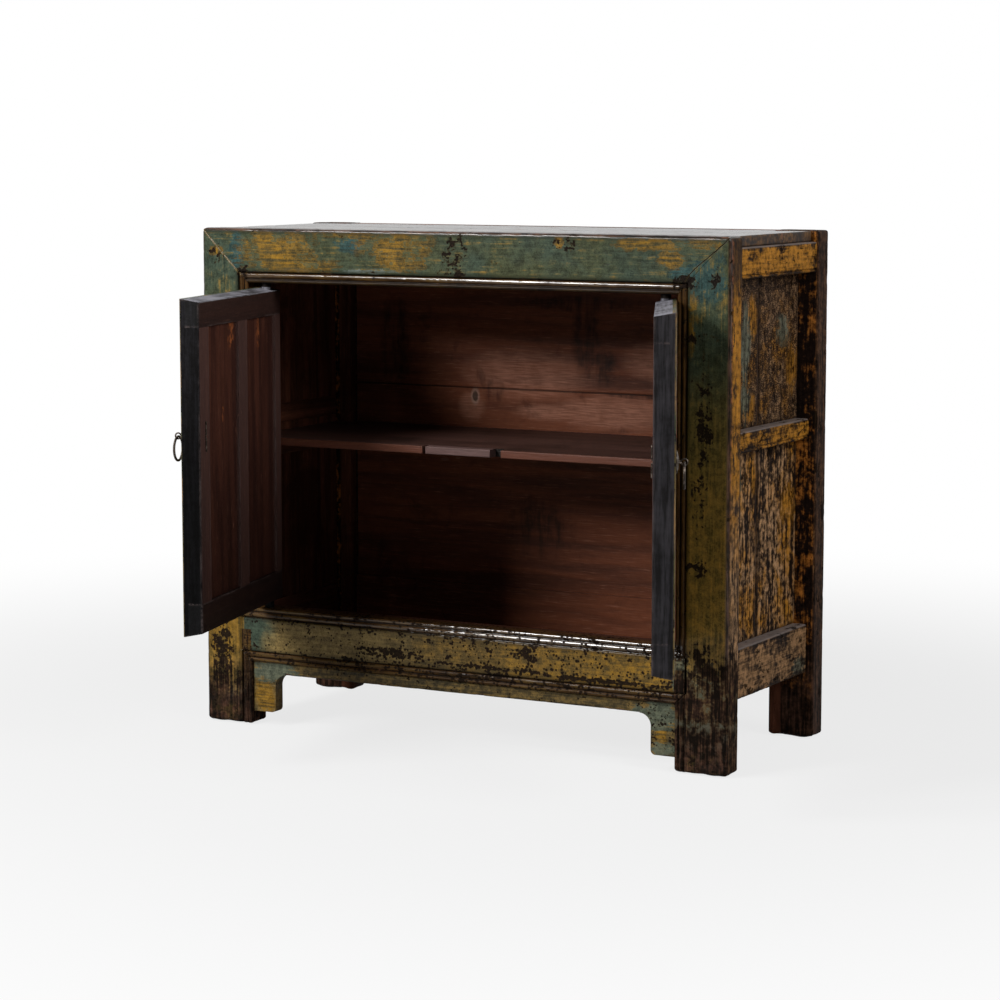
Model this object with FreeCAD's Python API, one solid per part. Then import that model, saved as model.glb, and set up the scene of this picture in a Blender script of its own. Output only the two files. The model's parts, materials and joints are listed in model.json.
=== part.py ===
import FreeCAD, Part
import math
import os

# Low two-door kang cabinet. Millimetres, +Z up, +X to the viewer's right, the front faces -Y.
# The origin is the middle of the carcass's footprint, on the floor.
# The doors are drawn closed and then turned about their wooden pivots to where they stand at rest.

# Part of a radius between a square corner and the middle of its quarter round
round_share = 1 - math.sqrt(0.5)

# Overall sizes of the carcass
width = 984.0
depth = 392.0
height = 850.0

# Double bead that frames the opening
big_bead_width = 9.5
big_bead_rise = 3.2
small_bead_width = 7.0
small_bead_rise = 2.4
bead_groove = 1.0
bead_sink = 3.5
front_beads = [(big_bead_width, big_bead_rise), (small_bead_width, small_bead_rise)]
bead_strip = big_bead_width + small_bead_width + bead_groove * len(front_beads)

# Posts
post_face_width = 73.5
post_width = post_face_width + bead_strip
post_depth = 45.0
back_post_width = 80.0
back_post_depth = 45.0
post_edge_radius = 7.0
top_corner_radius = 6.0
foot_chamfer = 5.0
post_back_edge_radius = 2.5
back_post_edge_radius = 4.0

# Front rails
rail_depth = 45.0
rail_edge_radius = 5.0
top_rail_height = post_width
bottom_rail_base = 110.5
bottom_rail_face = 57.0
bottom_rail_height = bottom_rail_face + bead_strip * 2
mitre_depth = 15.0
rail_tenon_setback = 20.0
rail_tenon_thickness = 14.0
rail_tenon_length = 30.0
rail_tenon_shoulder = 18.0

# Apron strip and spandrels under the bottom rail
apron_setback = 8.0
apron_thickness = 22.0
apron_drop = 20.5
spandrel_width = 44.0
spandrel_foot_gap = 24.0
cove_radius = 20.0
spandrel_toe_radius = 8.0
apron_tongue_thickness = 10.0
apron_tongue_depth = 6.0

# Side rails, between the front and back posts
side_inner_inset = 50.0
upper_side_recess = 3.0
lower_side_recess = 13.0
side_upper_rail_height = 50.0
side_middle_rail_base = 506.0
side_middle_rail_height = 34.0
side_lower_rail_base = 112.0
side_lower_rail_height = 83.0
side_bead_width = 5.0
side_bead_rise = 1.8
side_bead_groove = 1.0
side_bead_sink = 2.0
side_rail_edge_radius = 3.0
side_tenon_setback = 8.0
side_tenon_thickness = 12.0
side_tenon_length = 20.0
side_tenon_shoulder = 8.0

# Side panels, two boards in each
panel_thickness = 15.0
panel_tongue_thickness = 7.0
panel_tongue_depth = 7.0
groove_end_clearance = 1.0
panel_seam_shift = -8.0
board_edge_chamfer = 1.2

# Top boards
top_step = 1.0
top_board_thickness = 17.5
top_board_recess = 13.0
top_board_edge_radius = 3.0
top_board_front_width = 158.0
top_tongue_thickness = 6.0
top_tongue_depth = 8.0

# Back rails and boards
back_rail_setback = 4.0
back_rail_thickness = 22.0
back_top_rail_height = 59.0
back_bottom_rail_base = 112.0
back_bottom_rail_height = 100.0
back_board_setback = 8.0
back_board_thickness = 12.0
back_board_insert = 7.0
back_seam_height = 563.0
back_tenon_thickness = 12.0
back_tenon_length = 25.0
back_tenon_shoulder = 8.0

# Floor boards
floor_board_base = 116.0
floor_board_thickness = 14.0
floor_board_insert = 7.0
floor_front_width = 160.0

# Shelf
shelf_below_middle_rail = 13.0
shelf_edge_radius = 2.0
shelf_thickness = 13.0
shelf_front_gap = 1.5
shelf_end_clearance = 0.5
shelf_front_width = 214.0
bearer_thickness = 20.0
bearer_height = 26.0
notch_length = 148.0
notch_depth = 20.0
notch_shift = -13.0
block_length = 122.0
block_left_gap = 6.5

# Doors
door_thickness = 34.0
door_face_setback = 1.0
door_top_gap = 7.0
door_bottom_gap = 8.0
door_meeting_gap = 2.0
door_top_bevel = 6.5
door_bottom_bevel = 7.0
door_corner_radius = 5.0
door_edge_radius = 2.0
door_mitre_depth = 10.0
pivot_inset = 27.0
hinge_edge_gap = 2.0
hinge_stile_width = 34.0
lock_stile_width = 42.0
muntin_width = 42.0
door_top_rail_height = 46.0
door_bottom_rail_height = 55.0
door_tenon_setback = 12.0
door_tenon_thickness = 8.0
door_tenon_length = 24.0
door_tenon_shoulder = 9.0
door_panel_inset = 5.0
door_tongue_thickness = 8.0
door_tongue_depth = 7.0
pivot_radius = 8.0
pivot_running_clearance = 0.1
top_pivot_length = 14.0
bottom_pivot_length = 6.5
pivot_end_clearance = 0.3
left_door_rest_angle = 75.8
right_door_rest_angle = 115.4

# Pull on each door: domed plate, split-pin eye and ring bail
pull_edge_distance = 23.0
pull_height_on_door = 319.5
plate_radius = 17.0
plate_rim = 1.5
plate_dome = 4.0
plate_dome_share = 0.75
eye_shank_radius = 2.5
eye_standoff = 12.0
eye_ring_radius = 4.6
eye_wire_radius = 1.3
eye_leg_radius = 1.4
eye_leg_length = 24.0
bail_ring_radius = 19.0
bail_wire_radius = 2.0
bail_play = 0.3

# Places worked out from the sizes above
left_x = -width / 2
front_y = -depth / 2
back_y = depth / 2
post_inner_x = left_x + post_width
back_post_inner_x = left_x + back_post_width
post_back_y = front_y + post_depth
back_post_front_y = back_y - back_post_depth
opening_top = height - top_rail_height
bottom_rail_top = bottom_rail_base + bottom_rail_height
side_inner_x = left_x + side_inner_inset
panel_outer_x = side_inner_x - panel_thickness
top_board_top = height - top_step
top_board_base = top_board_top - top_board_thickness
side_upper_rail_base = top_board_base - side_upper_rail_height
side_middle_rail_top = side_middle_rail_base + side_middle_rail_height
side_lower_rail_top = side_lower_rail_base + side_lower_rail_height
back_rail_y1 = back_y - back_rail_setback
back_rail_y0 = back_rail_y1 - back_rail_thickness
back_board_y1 = back_y - back_board_setback
back_board_y0 = back_board_y1 - back_board_thickness
back_top_rail_base = top_board_top - back_top_rail_height
back_bottom_rail_top = back_bottom_rail_base + back_bottom_rail_height
shelf_top = side_middle_rail_base - shelf_below_middle_rail
shelf_base = shelf_top - shelf_thickness
shelf_front_y = post_back_y + shelf_front_gap
pivot_x = post_inner_x + pivot_inset
door_y0 = front_y + door_face_setback
door_y1 = door_y0 + door_thickness
pivot_y = (door_y0 + door_y1) / 2
hinge_edge_x = post_inner_x + hinge_edge_gap
door_free_x = -door_meeting_gap / 2
door_z0 = bottom_rail_top + door_bottom_gap
door_z1 = opening_top - door_top_gap


def vec(x, y, z):
    return FreeCAD.Vector(x, y, z)


def box_between(x0, x1, y0, y1, z0, z1):
    return Part.makeBox(x1 - x0, y1 - y0, z1 - z0, vec(x0, y0, z0))


def line(a, b):
    return Part.makeLine(a, b)


def arc(a, middle, b):
    return Part.Arc(a, middle, b).toShape()


def corner_arc(before, corner, after, radius):
    """Arc that rounds a corner between two straight runs, with its two tangent points."""
    back = (before - corner).normalize()
    ahead = (after - corner).normalize()
    half = back.getAngle(ahead) / 2
    run = radius / math.tan(half)
    to_axis = radius / math.sin(half)
    inward = (back + ahead).normalize()
    start = corner + back * run
    end = corner + ahead * run
    return start, corner + inward * (to_axis - radius), end


def rounded_outline(corners):
    """Closed outline through (point, radius) corners, each rounded by its own radius."""
    edges = []
    ends = []
    for i, (corner, radius) in enumerate(corners):
        before = corners[i - 1][0]
        after = corners[(i + 1) % len(corners)][0]
        if radius > 0:
            start, middle, end = corner_arc(before, corner, after, radius)
            edges.append(arc(start, middle, end))
            ends.append((start, end))
        else:
            ends.append((corner, corner))
    for i, (_, leaves) in enumerate(ends):
        edges.append(line(leaves, ends[(i + 1) % len(ends)][0]))
    return face_of(edges)


def face_of(edges):
    return Part.Face(Part.Wire(Part.__sortEdges__(edges)))


def polygon_prism(points, sweep):
    """Solid of a flat outline, given by its corners, moved along the vector sweep."""
    return Part.Face(Part.makePolygon(points + points[:1])).extrude(sweep)


def xz_prism(corners, y0, y1):
    return polygon_prism([vec(x, y0, z) for x, z in corners], vec(0, y1 - y0, 0))


def xy_prism(corners, z0, z1):
    return polygon_prism([vec(x, y, z0) for x, y in corners], vec(0, 0, z1 - z0))


def mirrored(shape):
    """The same piece on the other side of the cabinet's middle plane."""
    return shape.mirror(vec(0, 0, 0), vec(1, 0, 0))


def bead_run(place, start, beads, groove, sink):
    """Edges of a row of half-round beads; place turns (across, depth) into a point."""
    edges = [line(place(start, 0), place(start, sink))]
    at = start
    for bead_width, rise in beads:
        edges.append(line(place(at, sink), place(at + groove, sink)))
        at = at + groove
        crown = place(at + bead_width / 2, sink - rise)
        edges.append(arc(place(at, sink), crown, place(at + bead_width, sink)))
        at = at + bead_width
    return edges


def rounded_corner_points(x, y, radius):
    """Start, middle and end of the quarter round that replaces the corner at the left and front."""
    reach = radius * round_share
    return (x + radius, y), (x + reach, y + reach), (x, y + radius)


def front_post_blank():
    """Left front post: flat face, double bead on the inner front edge, rounded outer edge."""
    def place(across, sunk):
        return vec(left_x + across, front_y + sunk, 0)

    a, m, b = rounded_corner_points(left_x, front_y, post_edge_radius)
    edges = [line(vec(a[0], a[1], 0), place(post_face_width, 0))]
    edges += bead_run(place, post_face_width, front_beads, bead_groove, bead_sink)
    r = post_back_edge_radius
    edges.append(line(place(post_width, bead_sink), place(post_width, post_depth)))
    edges.append(line(place(post_width, post_depth), place(r, post_depth)))
    middle = place(r * round_share, post_depth - r * round_share)
    edges.append(arc(place(r, post_depth), middle, place(0, post_depth - r)))
    edges.append(line(place(0, post_depth - r), vec(b[0], b[1], 0)))
    edges.append(arc(vec(b[0], b[1], 0), vec(m[0], m[1], 0), vec(a[0], a[1], 0)))
    return face_of(edges).extrude(vec(0, 0, height))


def post_edge_cutter():
    """What the rounded outer edge of the front post leaves off."""
    axis_x = left_x + post_edge_radius
    axis_y = front_y + post_edge_radius
    corner = box_between(left_x, axis_x, front_y, axis_y, 0, height)
    return corner.cut(Part.makeCylinder(post_edge_radius, height, vec(axis_x, axis_y, 0)))


def top_corner_cutter():
    """What the rounded top corner, seen from the front, leaves off."""
    axis_x = left_x + top_corner_radius
    axis_z = height - top_corner_radius
    corner = box_between(left_x, axis_x, front_y, back_y, axis_z, height)
    round_bar = Part.makeCylinder(top_corner_radius, depth, vec(axis_x, front_y, axis_z), vec(0, 1, 0))
    return corner.cut(round_bar)


def foot_cutter(x0, x1, y0, y1):
    """Worn lower edge: the band outside a frustum that narrows to the floor."""
    outer = box_between(x0, x1, y0, y1, 0, foot_chamfer)
    lower = Part.makePolygon([
        vec(x0 + foot_chamfer, y0 + foot_chamfer, 0), vec(x1 - foot_chamfer, y0 + foot_chamfer, 0),
        vec(x1 - foot_chamfer, y1 - foot_chamfer, 0), vec(x0 + foot_chamfer, y1 - foot_chamfer, 0),
        vec(x0 + foot_chamfer, y0 + foot_chamfer, 0)])
    upper = Part.makePolygon([
        vec(x0, y0, foot_chamfer), vec(x1, y0, foot_chamfer), vec(x1, y1, foot_chamfer),
        vec(x0, y1, foot_chamfer), vec(x0, y0, foot_chamfer)])
    return outer.cut(Part.makeLoft([lower, upper], True, True))


def top_mitre_prism():
    """Front layer that the top rail takes, from one outer top corner to the other."""
    corners = [
        (left_x, height), (post_inner_x, opening_top), (-post_inner_x, opening_top), (-left_x, height)]
    return xz_prism(corners, front_y, front_y + mitre_depth)


def bottom_mitre_prism():
    """Front layer that the bottom rail takes, with an arrow tip in each post's bead."""
    tip_x = post_inner_x - bead_strip
    corners = [
        (post_inner_x, bottom_rail_base), (tip_x, bottom_rail_base + bead_strip),
        (tip_x, bottom_rail_top - bead_strip), (post_inner_x, bottom_rail_top),
        (-post_inner_x, bottom_rail_top), (-tip_x, bottom_rail_top - bead_strip),
        (-tip_x, bottom_rail_base + bead_strip), (-post_inner_x, bottom_rail_base)]
    return xz_prism(corners, front_y, front_y + mitre_depth)


def front_rail_tenon(z0, z1):
    y0 = front_y + rail_tenon_setback
    return box_between(
        post_inner_x - rail_tenon_length, post_inner_x, y0, y0 + rail_tenon_thickness,
        z0 + rail_tenon_shoulder, z1 - rail_tenon_shoulder)


def with_both_ends(shape, end_piece):
    return shape.fuse([end_piece, mirrored(end_piece)])


def front_top_rail():
    def place(across, sunk):
        return vec(left_x, front_y + sunk, height - across)

    radius = rail_edge_radius
    reach = radius * round_share
    edges = [arc(place(0, radius), place(reach, reach), place(radius, 0))]
    edges.append(line(place(radius, 0), place(post_face_width, 0)))
    edges += bead_run(place, post_face_width, front_beads, bead_groove, bead_sink)
    edges.append(line(place(top_rail_height, bead_sink), place(top_rail_height, rail_depth)))
    edges.append(line(place(top_rail_height, rail_depth), place(0, rail_depth)))
    edges.append(line(place(0, rail_depth), place(0, radius)))
    bar = face_of(edges).extrude(vec(width, 0, 0))
    body = box_between(post_inner_x, -post_inner_x, front_y, front_y + rail_depth, opening_top, height)
    rail = bar.common(body.fuse(top_mitre_prism()))
    for cutter in (post_edge_cutter(), top_corner_cutter()):
        rail = rail.cut(cutter).cut(mirrored(cutter))
    rail = with_both_ends(rail, front_rail_tenon(opening_top, height))
    socket = pivot_socket(opening_top, top_pivot_length + bottom_pivot_length + pivot_end_clearance)
    rail = rail.cut(socket).cut(mirrored(socket))
    groove = top_board_tongue(top_tongue_depth + groove_end_clearance)
    return rail.cut(groove)


def front_bottom_rail():
    middle = bottom_rail_base + bead_strip

    def above(across, sunk):
        return vec(post_inner_x - bead_strip, front_y + sunk, middle + bottom_rail_face + across)

    def below(across, sunk):
        return vec(post_inner_x - bead_strip, front_y + sunk, middle - across)

    edges = [line(below(0, 0), above(0, 0))]
    edges += bead_run(above, 0, front_beads, bead_groove, bead_sink)
    edges += bead_run(below, 0, front_beads, bead_groove, bead_sink)
    edges.append(line(above(bead_strip, bead_sink), above(bead_strip, rail_depth)))
    edges.append(line(above(bead_strip, rail_depth), below(bead_strip, rail_depth)))
    edges.append(line(below(bead_strip, rail_depth), below(bead_strip, bead_sink)))
    bar = face_of(edges).extrude(vec((bead_strip - post_inner_x) * 2, 0, 0))
    body = box_between(
        post_inner_x, -post_inner_x, front_y, front_y + rail_depth, bottom_rail_base, bottom_rail_top)
    rail = bar.common(body.fuse(bottom_mitre_prism()))
    rail = with_both_ends(rail, front_rail_tenon(bottom_rail_base, bottom_rail_top))
    depth_down = bottom_pivot_length + pivot_end_clearance
    socket = pivot_socket(bottom_rail_top - depth_down, depth_down)
    rail = rail.cut(socket).cut(mirrored(socket))
    rail = rail.cut(apron_groove())
    return rail.cut(floor_front_tongue(floor_board_insert + groove_end_clearance))


def pivot_socket(z0, length):
    return Part.makeCylinder(pivot_radius + pivot_running_clearance, length, vec(pivot_x, pivot_y, z0))


def apron_tongue_y():
    y0 = front_y + apron_setback + (apron_thickness - apron_tongue_thickness) / 2
    return y0, y0 + apron_tongue_thickness


def apron_groove():
    """Groove along the underside of the bottom rail for the apron's tongues."""
    y0, y1 = apron_tongue_y()
    return box_between(
        post_inner_x, -post_inner_x, y0, y1, bottom_rail_base,
        bottom_rail_base + apron_tongue_depth + groove_end_clearance)


def front_apron():
    y0, y1 = apron_tongue_y()
    end_x = post_inner_x + spandrel_width + cove_radius
    strip = box_between(
        end_x, -end_x, front_y + apron_setback, front_y + apron_setback + apron_thickness,
        bottom_rail_base - apron_drop, bottom_rail_base)
    tongue = box_between(end_x, -end_x, y0, y1, bottom_rail_base, bottom_rail_base + apron_tongue_depth)
    return strip.fuse(tongue)


def left_spandrel():
    """Bracket beside the left leg, with a cove up to the apron strip and a rounded toe."""
    ya = front_y + apron_setback
    y0, y1 = apron_tongue_y()
    side_x = post_inner_x + spandrel_width
    end_x = side_x + cove_radius
    yb = ya + apron_thickness
    under_z = bottom_rail_base - apron_drop
    cove_z = under_z - cove_radius
    blank = box_between(post_inner_x, end_x, ya, yb, spandrel_foot_gap, bottom_rail_base)
    window = box_between(side_x, end_x, ya, yb, spandrel_foot_gap, cove_z)
    corner = box_between(side_x, end_x, ya, yb, cove_z, under_z)
    cove = Part.makeCylinder(cove_radius, apron_thickness, vec(end_x, ya, cove_z), vec(0, 1, 0))
    blank = blank.cut(window).cut(corner.common(cove))
    toe_x = side_x - spandrel_toe_radius
    toe_z = spandrel_foot_gap + spandrel_toe_radius
    toe = box_between(toe_x, side_x, ya, yb, spandrel_foot_gap, toe_z)
    toe_round = Part.makeCylinder(spandrel_toe_radius, apron_thickness, vec(toe_x, ya, toe_z), vec(0, 1, 0))
    blank = blank.cut(toe.cut(toe_round))
    top_tongue = box_between(
        post_inner_x, end_x, y0, y1, bottom_rail_base, bottom_rail_base + apron_tongue_depth)
    return blank.fuse([top_tongue, spandrel_post_tongue(apron_tongue_depth)])


def spandrel_post_tongue(reach):
    y0, y1 = apron_tongue_y()
    return box_between(post_inner_x - reach, post_inner_x, y0, y1, spandrel_foot_gap, bottom_rail_base)


def side_tenons(recess, z0, z1):
    """Tenons at both ends of a left side rail."""
    x0 = left_x + recess + side_tenon_setback
    x1 = x0 + side_tenon_thickness
    za = z0 + side_tenon_shoulder
    zb = z1 - side_tenon_shoulder
    front = box_between(x0, x1, post_back_y - side_tenon_length, post_back_y, za, zb)
    rear = box_between(x0, x1, back_post_front_y, back_post_front_y + side_tenon_length, za, zb)
    return [front, rear]


def side_rail(recess, z0, z1, beaded):
    """Left side rail with, where asked, a small bead along its lower outer edge."""
    outer_x = left_x + recess
    r = side_rail_edge_radius
    if not beaded:
        return rounded_outline([
            (vec(outer_x, post_back_y, z0), r), (vec(outer_x, post_back_y, z1), r),
            (vec(side_inner_x, post_back_y, z1), 0), (vec(side_inner_x, post_back_y, z0), 0)
        ]).extrude(vec(0, back_post_front_y - post_back_y, 0))
    bead_band = side_bead_groove + side_bead_width

    def place(across, sunk):
        return vec(outer_x + sunk, post_back_y, z0 + bead_band - across)

    inner = side_inner_x - outer_x
    top = bead_band - (z1 - z0)
    edges = [line(place(top + r, 0), place(0, 0))]
    edges += bead_run(place, 0, [(side_bead_width, side_bead_rise)], side_bead_groove, side_bead_sink)
    edges.append(line(place(bead_band, side_bead_sink), place(bead_band, inner)))
    edges.append(line(place(bead_band, inner), place(top, inner)))
    edges.append(line(place(top, inner), place(top, r)))
    edges.append(arc(place(top, r), place(top + r * round_share, r * round_share), place(top + r, 0)))
    return face_of(edges).extrude(vec(0, back_post_front_y - post_back_y, 0))


def panel_tongue_x():
    x0 = panel_outer_x + (panel_thickness - panel_tongue_thickness) / 2
    return x0, x0 + panel_tongue_thickness


def rail_panel_groove(z0, z1):
    x0, x1 = panel_tongue_x()
    return box_between(x0, x1, post_back_y, back_post_front_y, z0, z1)


def panel_levels():
    """Lower and upper edge of each side panel."""
    return {
        "lower": (side_lower_rail_top, side_middle_rail_base),
        "upper": (side_middle_rail_top, side_upper_rail_base)}


def left_side_rails():
    groove_depth = panel_tongue_depth + groove_end_clearance
    upper = side_rail(upper_side_recess, side_upper_rail_base, top_board_base, True)
    upper = upper.fuse(side_tenons(upper_side_recess, side_upper_rail_base, top_board_base))
    upper = upper.cut(rail_panel_groove(side_upper_rail_base, side_upper_rail_base + groove_depth))
    middle = side_rail(lower_side_recess, side_middle_rail_base, side_middle_rail_top, True)
    middle = middle.fuse(side_tenons(lower_side_recess, side_middle_rail_base, side_middle_rail_top))
    middle = middle.cut(rail_panel_groove(side_middle_rail_base, side_middle_rail_base + groove_depth))
    middle = middle.cut(rail_panel_groove(side_middle_rail_top - groove_depth, side_middle_rail_top))
    lower = side_rail(lower_side_recess, side_lower_rail_base, side_lower_rail_top, False)
    lower = lower.fuse(side_tenons(lower_side_recess, side_lower_rail_base, side_lower_rail_top))
    lower = lower.cut(rail_panel_groove(side_lower_rail_top - groove_depth, side_lower_rail_top))
    lower = lower.cut(floor_side_tongue(floor_board_insert + groove_end_clearance, back_post_front_y))
    return {"upper": upper, "middle": middle, "lower": lower}


def panel_board(y_post, y_seam, z0, z1):
    """Side board from a post's groove to the seam; its outer seam edge is eased."""
    toward_seam = math.copysign(1, y_seam - y_post)
    eased_y = y_seam - toward_seam * board_edge_chamfer
    corners = [
        (panel_outer_x, y_post), (panel_outer_x, eased_y), (panel_outer_x + board_edge_chamfer, y_seam),
        (side_inner_x, y_seam), (side_inner_x, y_post)]
    body = xy_prism(corners, z0, z1)
    x0, x1 = panel_tongue_x()
    low_y, high_y = sorted((y_post, y_seam))
    ends = box_between(x0, x1, low_y, high_y, z0 - panel_tongue_depth, z1 + panel_tongue_depth)
    reach = sorted((y_post, y_post - toward_seam * panel_tongue_depth))
    side = box_between(x0, x1, reach[0], reach[1], z0, z1)
    return body.fuse([ends, side])


def left_panel_boards():
    seam_y = panel_seam_shift
    boards = {}
    for level, (z0, z1) in panel_levels().items():
        boards[level + "_panel_front_board"] = panel_board(post_back_y, seam_y, z0, z1)
        boards[level + "_panel_back_board"] = panel_board(back_post_front_y, seam_y, z0, z1)
    return boards


def panel_grooves_in_posts():
    """Grooves for the side boards' edges in the front and the back post."""
    x0, x1 = panel_tongue_x()
    groove_depth = panel_tongue_depth + groove_end_clearance
    front = []
    rear = []
    for z0, z1 in panel_levels().values():
        front.append(box_between(x0, x1, post_back_y - groove_depth, post_back_y, z0, z1))
        rear.append(box_between(x0, x1, back_post_front_y, back_post_front_y + groove_depth, z0, z1))
    return front, rear


def all_side_tenons():
    """Front-end and back-end tenons of the three left side rails."""
    spans = [
        (upper_side_recess, side_upper_rail_base, top_board_base),
        (lower_side_recess, side_middle_rail_base, side_middle_rail_top),
        (lower_side_recess, side_lower_rail_base, side_lower_rail_top)]
    pairs = [side_tenons(*span) for span in spans]
    return [pair[0] for pair in pairs], [pair[1] for pair in pairs]


def front_left_leg():
    leg = front_post_blank()
    grooves, _ = panel_grooves_in_posts()
    tenons, _ = all_side_tenons()
    cutters = [top_mitre_prism(), bottom_mitre_prism(), top_corner_cutter()]
    cutters.append(front_rail_tenon(opening_top, height))
    cutters.append(front_rail_tenon(bottom_rail_base, bottom_rail_top))
    cutters.append(spandrel_post_tongue(apron_tongue_depth + groove_end_clearance))
    cutters.append(foot_cutter(left_x, post_inner_x, front_y, post_back_y))
    return leg.cut(cutters + grooves + tenons)


def back_left_leg():
    r = back_post_edge_radius
    blank = rounded_outline([
        (vec(left_x, back_post_front_y, 0), post_back_edge_radius), (vec(left_x, back_y, 0), r),
        (vec(back_post_inner_x, back_y, 0), r), (vec(back_post_inner_x, back_post_front_y, 0), 0)
    ]).extrude(vec(0, 0, height))
    _, grooves = panel_grooves_in_posts()
    _, tenons = all_side_tenons()
    cutters = [top_corner_cutter(), foot_cutter(left_x, back_post_inner_x, back_post_front_y, back_y)]
    cutters.append(back_rail_tenon(back_top_rail_base, top_board_top))
    cutters.append(back_rail_tenon(back_bottom_rail_base, back_bottom_rail_top))
    reach = back_board_insert + groove_end_clearance
    cutters.append(box_between(
        back_post_inner_x - reach, back_post_inner_x, back_board_y0, back_board_y1,
        back_bottom_rail_top, back_top_rail_base))
    return blank.cut(cutters + grooves + tenons)


def back_rail_tenon(z0, z1):
    y0 = (back_rail_y0 + back_rail_y1 - back_tenon_thickness) / 2
    return box_between(
        back_post_inner_x - back_tenon_length, back_post_inner_x, y0, y0 + back_tenon_thickness,
        z0 + back_tenon_shoulder, z1 - back_tenon_shoulder)


def back_rail(z0, z1, groove_z0, groove_z1):
    rail = box_between(back_post_inner_x, -back_post_inner_x, back_rail_y0, back_rail_y1, z0, z1)
    rail = with_both_ends(rail, back_rail_tenon(z0, z1))
    return rail.cut(box_between(
        back_post_inner_x, -back_post_inner_x, back_board_y0, back_board_y1, groove_z0, groove_z1))


def back_rails():
    reach = back_board_insert + groove_end_clearance
    top = back_rail(back_top_rail_base, top_board_top, back_top_rail_base, back_top_rail_base + reach)
    bottom = back_rail(
        back_bottom_rail_base, back_bottom_rail_top, back_bottom_rail_top - reach, back_bottom_rail_top)
    return top, bottom.cut(floor_back_tongue(floor_board_insert + groove_end_clearance))


def back_board(z0, z1, tongue_z0, tongue_z1):
    """Horizontal back board: full length between the posts' grooves, one long edge in a rail."""
    end_x = back_post_inner_x - back_board_insert
    body = box_between(end_x, -end_x, back_board_y0, back_board_y1, z0, z1)
    tongue = box_between(
        back_post_inner_x, -back_post_inner_x, back_board_y0, back_board_y1, tongue_z0, tongue_z1)
    return body.fuse(tongue)


def back_boards():
    z0 = back_bottom_rail_top
    z1 = back_top_rail_base
    lower = back_board(z0, back_seam_height, z0 - back_board_insert, z0)
    upper = back_board(back_seam_height, z1, z1, z1 + back_board_insert)
    return lower, upper


def top_board_tongue(reach):
    z0 = top_board_base + (top_board_thickness - top_tongue_thickness) / 2
    return box_between(
        post_inner_x, -post_inner_x, post_back_y - reach, post_back_y, z0, z0 + top_tongue_thickness)


def top_board_body(end_x, y0, y1):
    """Board whose upper end edges, which show at the cabinet's sides, are rounded."""
    r = top_board_edge_radius
    return rounded_outline([
        (vec(end_x, y0, top_board_base), 0), (vec(end_x, y0, top_board_top), r),
        (vec(-end_x, y0, top_board_top), r), (vec(-end_x, y0, top_board_base), 0)
    ]).extrude(vec(0, y1 - y0, 0))


def top_boards():
    """Front and back top boards over the side rails; the back one goes round the back posts."""
    end_x = left_x + top_board_recess
    seam_y = post_back_y + top_board_front_width
    front = top_board_body(end_x, post_back_y, seam_y)
    front = front.fuse(top_board_tongue(top_tongue_depth))
    rear = top_board_body(end_x, seam_y, back_post_front_y)
    rear = rear.fuse(box_between(
        back_post_inner_x, -back_post_inner_x, back_post_front_y, back_rail_y0,
        top_board_base, top_board_top))
    return front, rear


def floor_front_tongue(reach):
    return box_between(
        post_inner_x, -post_inner_x, post_back_y - reach, post_back_y,
        floor_board_base, floor_board_base + floor_board_thickness)


def floor_back_tongue(reach):
    return box_between(
        back_post_inner_x, -back_post_inner_x, back_rail_y0, back_rail_y0 + reach,
        floor_board_base, floor_board_base + floor_board_thickness)


def floor_side_tongue(reach, y1):
    return box_between(
        side_inner_x - reach, side_inner_x, post_back_y, y1,
        floor_board_base, floor_board_base + floor_board_thickness)


def floor_boards():
    """Two floor boards, let into the four lower rails and cut round the posts."""
    z0 = floor_board_base
    z1 = floor_board_base + floor_board_thickness
    seam_y = post_back_y + floor_front_width
    end_x = side_inner_x - floor_board_insert
    front = box_between(end_x, -end_x, post_back_y, seam_y, z0, z1)
    front = front.fuse(floor_front_tongue(floor_board_insert))
    rear = box_between(end_x, -end_x, seam_y, back_post_front_y, z0, z1)
    behind = box_between(
        back_post_inner_x, -back_post_inner_x, back_post_front_y, back_rail_y0, z0, z1)
    return front, rear.fuse([behind, floor_back_tongue(floor_board_insert)])


def shelf_notch_x():
    x0 = notch_shift - notch_length / 2
    return x0, x0 + notch_length


def shelf_front_bar(x0, x1, y1):
    """Bar of the shelf's thickness whose front edges are eased."""
    r = shelf_edge_radius
    return rounded_outline([
        (vec(x0, shelf_front_y, shelf_base), r), (vec(x0, shelf_front_y, shelf_top), r),
        (vec(x0, y1, shelf_top), 0), (vec(x0, y1, shelf_base), 0)
    ]).extrude(vec(x1 - x0, 0, 0))


def shelf_boards():
    """Front and back shelf boards on the bearers; the front edge has a notch for the block."""
    end_x = side_inner_x + shelf_end_clearance
    seam_y = shelf_front_y + shelf_front_width
    x0, x1 = shelf_notch_x()
    notch_y = shelf_front_y + notch_depth
    front = shelf_front_bar(end_x, -end_x, seam_y)
    front = front.cut(box_between(x0, x1, shelf_front_y, notch_y, shelf_base, shelf_top))
    step_y = back_post_front_y - shelf_end_clearance
    rear = box_between(end_x, -end_x, seam_y, step_y, shelf_base, shelf_top)
    narrow_x = back_post_inner_x + shelf_end_clearance
    behind = box_between(
        narrow_x, -narrow_x, step_y, back_board_y0 - shelf_end_clearance, shelf_base, shelf_top)
    return front, rear.fuse(behind)


def shelf_edge_block():
    x0 = shelf_notch_x()[0] + block_left_gap
    y1 = shelf_front_y + notch_depth
    return shelf_front_bar(x0, x0 + block_length, y1)


def left_shelf_bearer():
    return box_between(
        side_inner_x, side_inner_x + bearer_thickness, post_back_y, back_post_front_y,
        shelf_base - bearer_height, shelf_base)


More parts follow.
